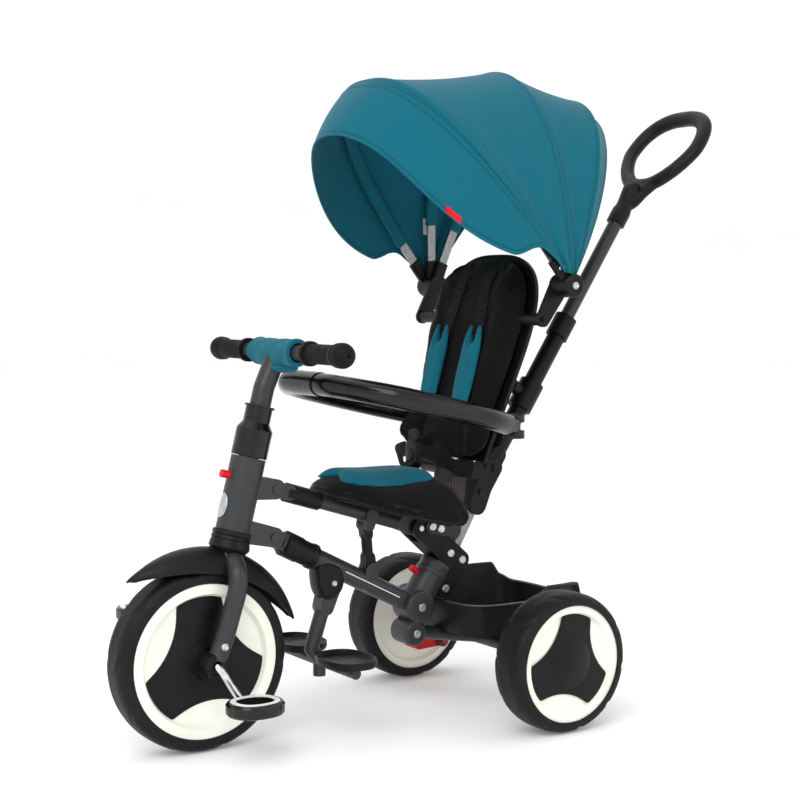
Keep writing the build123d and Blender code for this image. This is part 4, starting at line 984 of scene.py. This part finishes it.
def strap(path, side_way, wide, thick, rib=0.0, pitch=4.5):
    """Flat webbing: eight-cornered section along the path, thicker on each rib."""
    way = np.gradient(path, axis=0)
    way /= np.linalg.norm(way, axis=1)[:, None]
    side = np.broadcast_to(np.asarray(side_way, float), way.shape)
    side = side - (side * way).sum(1)[:, None] * way
    side /= np.linalg.norm(side, axis=1)[:, None]
    face = np.cross(way, side)
    length = np.r_[0, np.linalg.norm(np.diff(path, axis=0), axis=1).cumsum()]
    tall = thick / 2 + rib * (np.sin(2 * np.pi * length / pitch) > 0)
    a = np.array([(1, 0.4), (0.96, 1), (0.3, 1), (-0.3, 1), (-0.96, 1), (-1, 0.4), (-1, -0.4), (-0.96, -1),
                  (0.96, -1), (1, -0.4)])
    ring = (path[:, None] + a[None, :, :1] * wide / 2 * side[:, None]
            + a[None, :, 1:] * tall[:, None, None] * face[:, None])
    count = len(a)
    faces = grid_faces(len(path), count, False, True).tolist()
    faces += [list(range(count)), list(range((len(path) - 1) * count, len(path) * count))]
    return ring.reshape(-1, 3), faces


straps = []
for side in (1, -1):
    v = np.linspace(296, 92, 200)
    x = side * (30 + 12 * smooth((300 - v) / 130))
    straps.append(strap(lie_on(back_pad, x, v, 1.6), (1, 0, 0), 24, 1.6, rib=0.9))
harness = piece("harness_webbing", straps, WEBBING, "backrest", sharp=30)
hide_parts("harness")

shoulder_pads = []
for side in (1, -1):
    v = np.linspace(212, 66, 60)
    drift = lie_on(back_pad, side * (42 + 0 * v), v, 0.0)
    out_at = back_place(drift)[2]
    corners = [(20, 92), (23, 140), (22, 185), (17, 205), (11, 210), (8, 190), (0, 184), (-8, 190), (-11, 210),
               (-17, 205), (-22, 185), (-23, 140), (-20, 92), (-12, 74), (0, 70), (12, 74)]
    loop = smooth_loop([(side * 42 + x, v_at) for x, v_at in corners], 110)

    def rest(x, v_here, v=v, out_at=out_at):
        return np.interp(v_here, v[::-1], out_at[::-1])

    shoulder_pads.append(pillow(loop, (side * 42.0, 135.0), lambda x, v_here: rest(x, v_here) + 14,
                                lambda x, v_here: rest(x, v_here) + 4.5, on_back, roundness=7))
pads = piece("shoulder_pads", shoulder_pads, TEAL, None, sharp=180)
inflate(pads, 3, 2.5)


def shoulder_gap(co):
    """Distance to the stitched line 5 mm inside each pad's edge."""
    x, v, out = back_place(co)
    across_pad = np.abs(np.abs(x) - 42)
    return np.minimum(np.abs(across_pad - 17), np.abs(v - 150)) + 60 * (out < 33)


press_seams(pads, shoulder_gap, deep=1.0, bead=0.0, width=2.2)
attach(pads, "backrest")

# %% [markdown]
# The buckle is a rounded black moulding that stands at the front of the lap,
# held by a crotch strap. Short straps run to it from the shoulder pads and
# from the sides of the seat, across the recline hinge, as one fixed piece.

# %% Buckle and lap straps
def upright(x, y, z):
    """Loop in X and Z, height towards the front."""
    return np.stack([x, -118 - z, y], -1)


shell_loop = oval(0, 386, 19, 24, 3.2)
tongue_loop = oval(0, 412, 15, 9, 3)
button_loop = oval(0, 384, 9, 9, 2.2)
buckle_parts = [pillow(shell_loop, (0.0, 386.0), lambda x, y: 7 + 0 * x, lambda x, y: -5 + 0 * x, upright),
                pillow(tongue_loop, (0.0, 412.0), lambda x, y: 4 + 0 * x, lambda x, y: -4 + 0 * x, upright),
                pillow(button_loop, (0.0, 384.0), lambda x, y: 9 + 0 * x, lambda x, y: 4 + 0 * x, upright)]
buckle = piece("buckle_body", buckle_parts,
               SATIN_BLACK, "frame", sharp=40)
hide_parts("buckle")


lap = []
for side in (1, -1):
    shoulder_end = on_back(np.array(side * 40.0), np.array(84.0), np.array(40.0))
    to_buckle = [shoulder_end, (side * 38, -104, 424), (side * 28, -114, 408), (side * 14, -119, 400)]
    lap.append(strap(curve_through(to_buckle, 50), (side * 0.6, -0.3, 0.8), 20, 1.6, rib=0.5))
    from_side = [(side * 92, -78, 366), (side * 74, -98, 372), (side * 50, -112, 384), (side * 17, -119, 392)]
    lap.append(strap(curve_through(from_side, 60), (0, -0.35, 1), 22, 1.6, rib=0.5))
lap_straps = piece("lap_webbing", lap, WEBBING, None, sharp=30)
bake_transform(lap_straps)
crotch = curve_through([(0, -140, 352), (0, -136, 364), (0, -124, 374), (0, -119, 384)], 40)
piece("crotch_webbing", [strap(crotch, (1, 0, 0), 24, 1.8, rib=0.5)], WEBBING, "frame", sharp=30)

# %% [markdown]
# ## Handlebar pad and grips
# The teal pad is a padded sleeve with bound ends, closed by a flap round the
# stem. The grips are soft rubber turned on the bar, with fine ribs, an inner
# flange and a bulb with a dimple.

# %% Bar pad
BAR = np.array((0.0, -345.0, 538.0))


def sleeve(x, around):
    """Radius of the pad: 19 mm, bound ends 1.5 mm higher, a fuller underside towards the stem."""
    bound = 1.4 * np.exp(-((np.abs(x) - 53) / 3.0) ** 2)
    under = 9.0 * np.exp(-(x / 27) ** 4) * np.exp(-((around + np.pi / 2) / 0.75) ** 2)
    crease = 0.5 * np.sin(x / 7 + 3 * around)
    return 18.2 + bound + under + crease - 0.8 * (np.abs(x) > 55.5)


around = np.linspace(-np.pi * 1.5, np.pi * 0.5, 72, endpoint=False)[None]
pad_x = np.linspace(-56.5, 56.5, 120)[:, None]
pad_r = sleeve(pad_x, around)
outer = np.stack([pad_x + 0 * around, BAR[1] + pad_r * np.cos(around), BAR[2] + pad_r * np.sin(around)], -1)
inner = np.stack([pad_x + 0 * around, BAR[1] + 13.5 * np.cos(around) + 0 * pad_x,
                  BAR[2] + 13.5 * np.sin(around) + 0 * pad_x], -1)[::-1]
ring = np.concatenate([outer, inner])
bar_pad = piece("bar_pad_cloth", [(ring.reshape(-1, 3), grid_faces(240, 72, True, True).tolist())], TEAL,
                "steering_unit", sharp=60)
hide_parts("bar_pad")
flap_loop = oval(0, -343, 31, 21, 2.6)
flap = piece("bar_pad_flap", [pillow(flap_loop, (0.0, -343.0), lambda x, y: 522 + 0 * x,
                                     lambda x, y: 509 + 0.004 * x**2 - 0.1 * (y + 343), level)], TEAL,
             "steering_unit", sharp=180)


# %% [markdown]
# Each grip is turned rubber with fine rings and a ball at its end, so one
# profile carried round the bar makes it. A lathe would make it the same way.

# %% Grips
def grip(side):
    """Turned profile along the bar: flange, ribbed barrel, ball end with a dimple."""
    x = np.linspace(84, 187.9, 210)
    barrel = 13.2 + 0.35 * (np.sin(2 * np.pi * (x - 92) / 3.6) > 0.2) * (x > 96) * (x < 152)
    flange = 17.0 * (x < 90.5)
    ball = np.sqrt(np.clip(17.0**2 - (x - 171) ** 2, 0, None))
    bulb = np.maximum(ball, 13.2 + 3.4 * smooth((x - 150) / 14))
    r = np.maximum(np.maximum(barrel * (x < 168), flange), np.where(x < 164, np.minimum(bulb, 17), ball))
    r = np.where(x < 150, np.maximum(barrel, flange), r)
    inner_end = [(side * 186.2, 1.5), (side * 176, 1.5), (side * 171, 11.1)]
    profile = [(side * 84, 11.1), *np.c_[side * x, r], *inner_end]
    return turned(profile, BAR, 48)


grips = piece("rubber_grips", [grip(1), grip(-1)], GRIP_RUBBER, "steering_unit", sharp=50)
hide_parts("grips")

# %% [markdown]
# ## Basket
# The basket is one moulded tub. Its plan is a squared oval, its lip turns
# out, and two lugs stand up from the lip near its rear corners.

# %% Basket tub
def tub(cols=160):
    """Rows of the squared oval, down the outside, under the floor and up the inside."""
    turn = np.linspace(0, 2 * np.pi, cols, endpoint=False)
    plan_x = np.sign(np.sin(turn)) * np.abs(np.sin(turn)) ** 0.42
    plan_y = np.sign(np.cos(turn)) * np.abs(np.cos(turn)) ** 0.42
    y_at = 20 + 104 * plan_y
    lug = 19 * (smooth((y_at - 26) / 16) - smooth((y_at - 96) / 14)) * smooth((np.abs(plan_x) - 0.86) / 0.06)
    back_dip = 8 * smooth((y_at - 108) / 12)
    rim = 170 + lug - back_dip
    rows = [(-60, 0.0), (-8, 0.0), (-4, 0.0), (-3, 0.06), (1, 0.5), (4, 0.94), (9.5, 0.95), (10.5, 0.97),
            (10.5, 0.99), (9, 1.0), (3, 1.0), (1.6, 0.98), (-1.6, 0.5), (-6.6, 0.1), (-10, 0.065), (-60, 0.065)]
    points = [np.stack([(104 + grow) * plan_x, 20 + (104 + grow) * plan_y, 121.5 + up * (rim - 121.5)], -1)
              for grow, up in rows]
    return np.stack(points)


tub_points = tub()
tub_faces = grid_faces(len(tub_points), 160, False, True).tolist()
tub_faces += [list(range(160)), list(range(15 * 160, 16 * 160))]
basket = piece("basket_tub", [(tub_points.reshape(-1, 3), tub_faces)], SATIN_BLACK, "frame",
               sharp=40)
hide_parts("basket")

# %% [markdown]
# ## Hub and footrest
# The hub is a smooth cast sleeve round the foot of the pole, with a round
# boss where the boom ends. The footrest hangs from a rounded housing.

# %% Hub casting
def rounded_drum(point, half, radius, soft=5.0, sides=64):
    """Disc along X with softly rounded edges."""
    lean = np.radians(np.linspace(0, 90, 7))
    edge = [(half - soft + soft * np.sin(a), radius - soft + soft * np.cos(a)) for a in lean]
    return turned([(-x, r) for x, r in edge[::-1]] + edge + [(half, 0.1), (-half, 0.1)], (0.0, *point), sides)


def side_tube(start, end, radii, shares):
    """Round tube in the middle plane, with a radius at each share of the way."""
    way = np.array(end) - np.array(start)
    path = np.array(start) + np.array(shares)[:, None] * way
    return tube(np.c_[np.zeros(len(shares)), path], radii, 48, up=(1.0, 0.0, 0.0))


hub_parts = [side_tube((-116, 163), (-78, 220.5), [18, 22.5, 23.2, 23.2, 24.6, 24.6, 23.2, 23.4, 23.4, 22],
                       [0.0, 0.05, 0.3, 0.68, 0.7, 0.78, 0.8, 0.9, 0.97, 1.0]),
             rounded_drum((-119, 160), 23.5, 24.5), rounded_drum((-128, 122), 22.5, 19)]
casting = piece("hub_casting", hub_parts, GREY_COAT, "frame", sharp=40)
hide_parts("hub_sleeve")

# %% [markdown]
# The housing is a soft-edged block, so a pillow with a high power gives it. A
# dished plate is a stack of squared ovals, which is shorter than a sculpted one.

# %% Footrest housing and plates
BOOM = np.array([(-361.0, 283.0), (-119.0, 160.0)])
boom_way = (BOOM[1] - BOOM[0]) / np.linalg.norm(BOOM[1] - BOOM[0])
FOOT_PIVOT = BOOM[0] + 92 * boom_way + np.array((13.0, -44.3))
housing_at = BOOM[0] + 96 * boom_way + np.array((7.0, -24.0))


def housing_place(y, z, out):
    """Side-view outline turned into the housing's flank."""
    return np.stack([out, housing_at[0] + y, housing_at[1] + z], -1)


housing_corners = [(-22, 18), (-8, 26), (14, 18), (23, 4), (21, -16), (8, -30), (-10, -30), (-20, -14)]
housing_loop = smooth_loop(housing_corners)
housing = pillow(housing_loop, (0.0, 0.0), lambda y, z: 17.5 + 0 * y, lambda y, z: -17.5 + 0 * y, housing_place,
                 roundness=9)
boom_sleeve = side_tube(BOOM[0] + 24 * boom_way, BOOM[0] + 80 * boom_way,
                        [15, 18.4, 18.4, 17.2, 17.2, 18.6, 18.6, 15],
                        [0.0, 0.03, 0.5, 0.52, 0.86, 0.88, 0.98, 1.0])
fittings = piece("boom_housing", [housing, boom_sleeve], SATIN_BLACK, "frame", sharp=40)
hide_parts("boom_fittings")
bolt_place = (0.0, housing_at[0] + 3, housing_at[1] - 6)
housing_bolts = [turned([(s * 16, 4.6), (s * 18.6, 4.2), (s * 19.4, 2.8), (s * 18.6, 2.0), (s * 18.6, 0.1),
                         (s * 16, 0.1)], bolt_place, 28) for s in (1, -1)]
piece("boom_housing_bolts", housing_bolts, ZINC, "frame")

dishes = []
for side in (1, -1):
    loops = [oval(side * 68, FOOT_PIVOT[0] - 11, half, deep, 2.6, 96) for half, deep in
             ((0.5, 0.5), (40, 27), (47, 34), (49, 36), (49, 36), (47.5, 34.5), (44, 31), (40, 27), (0.5, 0.5))]
    dishes.append(stacked(loops, [104, 104, 105, 109, 116, 116, 110, 108, 107.5]))
plates = piece("foot_dishes", dishes, SATIN_BLACK, "footrest_arm", sharp=50)
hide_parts("foot_plates")

# %% [markdown]
# ## Push handle
# The handle is one fat loop of satin plastic, a little flattened, that grows
# out of a sleeve on the pole. A web fills the fork where loop and sleeve meet.

# %% Handle loop
POLE = np.array([(16.5, 357.6), (271.0, 742.0)])
pole_way = (POLE[1] - POLE[0]) / np.linalg.norm(POLE[1] - POLE[0])
LOOP_BASE = np.array((318.0, 793.0))
loop_lean = np.radians(39.1)
loop_way = np.array((np.sin(loop_lean), np.cos(loop_lean)))
a = np.linspace(0, 2 * np.pi, 120, endpoint=False)
loop_x = 76.0 * np.sign(np.sin(a)) * np.abs(np.sin(a)) ** 0.8 * (1 - 0.32 * np.cos(a) * (np.cos(a) > 0))
loop_up = 71.5 * (1 - np.sign(np.cos(a)) * np.abs(np.cos(a)) ** 0.86)
loop_path = np.c_[loop_x, LOOP_BASE + loop_up[:, None] * loop_way]
fat = 11.8 + 1.6 * np.exp(-((a - np.pi) / 1.1) ** 2)
across_loop = (0.0, -loop_way[1], loop_way[0])
loop = tube(loop_path, fat, 28, up=across_loop, closed=True, flat=0.86)
sleeve_path = POLE[1] + np.array([-14, -13, 10, 16, 28, 40, 52, 60])[:, None] * pole_way
sleeve_radii = [12, 15, 15, 13.2, 13.5, 15, 16, 12]
sleeve_tube = tube(np.c_[np.zeros(8), sleeve_path], sleeve_radii, 32, up=(1.0, 0.0, 0.0))
web_side = [(13, -44), (22, -22), (38, 2), (50, 16), (28, 12)]
web_loop = smooth_loop([(0, -52), *web_side, (0, 7), *[(-x, v) for x, v in web_side[::-1]]])


def on_loop(x, v, out):
    """Across, up the loop's lean from its base, and out of its plane."""
    y, z = v * loop_way[0] - out * loop_way[1], v * loop_way[1] + out * loop_way[0]
    return np.stack([x, LOOP_BASE[0] + y, LOOP_BASE[1] + z], -1)


web = pillow(web_loop, (0.0, 0.0), lambda x, v: 9.5 + 0 * x, lambda x, v: -9.5 + 0 * x, on_loop, roundness=6)
handle = piece("handle_loop", [loop, sleeve_tube, web], SATIN_BLACK, "pole_top", sharp=50)
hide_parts("handle")

# %% [markdown]
# ## Small things
# A thin pale stripe along the lower boom, a plain oval plate on the head tube,
# a care label and a red tag on the canopy, both blank.

# %% Stripe, plate, label and tag
LOWER = np.array([(-361.0, 283.0), (-119.0, 160.0)])
share = np.linspace(0.48, 0.86, 40)[:, None]
line = LOWER[0] + share * (LOWER[1] - LOWER[0])
stripes = [tube(np.c_[np.full(40, side * 14.4), line], 0.75, 8) for side in (1, -1)]
piece("boom_stripe", stripes, WHITE, "frame", sharp=60)

HEAD = np.array([(-421.6, 275.0), (-391.5, 394.0)])
up = (HEAD[1] - HEAD[0]) / np.linalg.norm(HEAD[1] - HEAD[0])


def on_head(x, along_head, out):
    """x and height along the head tube, wrapped round its front at 24 mm."""
    turn = x / 24.0
    radius = 24.0 + out
    y = HEAD[0][0] + along_head * up[0] - radius * np.cos(turn) * up[1]
    z = HEAD[0][1] + along_head * up[1] + radius * np.cos(turn) * up[0]
    return np.stack([radius * np.sin(turn), y, z], -1)


plate = [pillow(oval(0, 52, wide, tall, 2), (0.0, 52.0), lambda x, y: top + 0 * x, lambda x, y: low + 0 * x,
                on_head) for wide, tall, top, low in ((10.5, 17, 1.6, -0.5), (8, 14, 2.0, 1.2))]
piece("head_plate", plate, ZINC, "frame", sharp=40)

hem_at = canopy_points[-1]
tag_cols = slice(31, 37)
tag_grid = np.stack([canopy_points[row][tag_cols] for row in (-1, -2, -3)])
tag_out = tag_grid - (0, *PIVOT)
tag_out /= np.linalg.norm(tag_out, axis=-1)[..., None]
tag = piece("canopy_tag", [shell(tag_grid + 1.6 * tag_out, 0.8)], RED, "canopy_fore", sharp=60)
label_grid = canopy_points[30:35, 163:169]
label_in = label_grid - (0, *PIVOT)
label_in /= np.linalg.norm(label_in, axis=-1)[..., None]
label = piece("care_label", [shell(label_grid - 3.0 * label_in, 0.5)], WHITE, None, sharp=60)
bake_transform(label)

# %% [markdown]
# ## Light, floor and camera
# A pale floor and three large soft lamps, as in a product studio. The camera
# stands in front and to the tricycle's left, a little over two metres off.

# %% Stage
turns = np.linspace(0, 2 * np.pi, 64, endpoint=False)
sweep = np.array([(0.0, 0.0), (2.0, 0.0), (5.0, 0.0), (6.5, 0.3), (7.6, 1.2), (8.0, 2.6), (8.0, 7.0)])
cove = np.stack([sweep[:, :1] * np.cos(turns), sweep[:, :1] * np.sin(turns), np.repeat(sweep[:, 1:], 64, 1)],
                -1)
mesh = bpy.data.meshes.new("floor")
mesh.from_pydata(cove.reshape(-1, 3).tolist(), [], grid_faces(len(sweep), 64, False, True).tolist())
mesh.flip_normals()
floor = bpy.data.objects.new("floor", mesh)
bpy.context.scene.collection.objects.link(floor)
mat, tree, shader, where = start("pale_floor_paper")
paper_tones = two_tones(tree, mottled(tree, where, 400, 0.0, 1.0), "#fbfbfb", "#f9f9f9")
tree.links.new(paper_tones, shader.inputs["Base Color"])
shader.inputs["Roughness"].default_value = 0.9
shader.inputs["Emission Color"].default_value = linear("#ffffff")
shader.inputs["Emission Strength"].default_value = 0.1
mesh.materials.append(mat)

world = bpy.data.worlds.new("studio")
bpy.context.scene.world = world
world.use_nodes = True
world.node_tree.nodes["Background"].inputs["Color"].default_value = linear("#ffffff")
world.node_tree.nodes["Background"].inputs["Strength"].default_value = 0.84
LAMPS = {"key": ((1.6, -1.9, 2.3), 2.0, 42), "fill": ((2.6, 1.2, 1.3), 2.4, 8),
         "top": ((-0.6, 0.2, 2.8), 2.6, 16)}
for name, (place, size, power) in LAMPS.items():
    lamp = bpy.data.lights.new(name, "AREA")
    lamp.energy, lamp.size = power, size
    obj = bpy.data.objects.new(name, lamp)
    bpy.context.scene.collection.objects.link(obj)
    obj.location = place
    obj.rotation_euler = (Vector((0, 0, 0.45)) - Vector(place)).to_track_quat("-Z", "Y").to_euler()
bpy.context.scene.view_settings.view_transform = "Standard"

# %% [markdown]
# The camera stands in front and to the left, a little above the seat, with a
# long lens, which keeps the wheels round and the canopy in proportion.

# %% Camera
AZIMUTH, PITCH, ROLL = np.radians((55.583, 4.427, -0.254))
camera = bpy.data.objects.new("camera", bpy.data.cameras.new("camera"))
bpy.context.scene.collection.objects.link(camera)
camera.data.sensor_width = 36.0
camera.data.lens = 71.03
camera.data.shift_x = -0.0393
camera.data.shift_y = 0.0217
back = Vector((np.sin(AZIMUTH) * np.cos(PITCH), -np.cos(AZIMUTH) * np.cos(PITCH), np.sin(PITCH)))
camera.location = (1.91607, -1.40106 + AXLE[1], 0.61667)
turn = (-back).to_track_quat("-Z", "Y").to_matrix().to_4x4()
camera.rotation_euler = (turn @ Matrix.Rotation(-ROLL, 4, "Z")).to_euler()
bpy.context.scene.camera = camera
print("camera at", [round(v, 3) for v in camera.location])
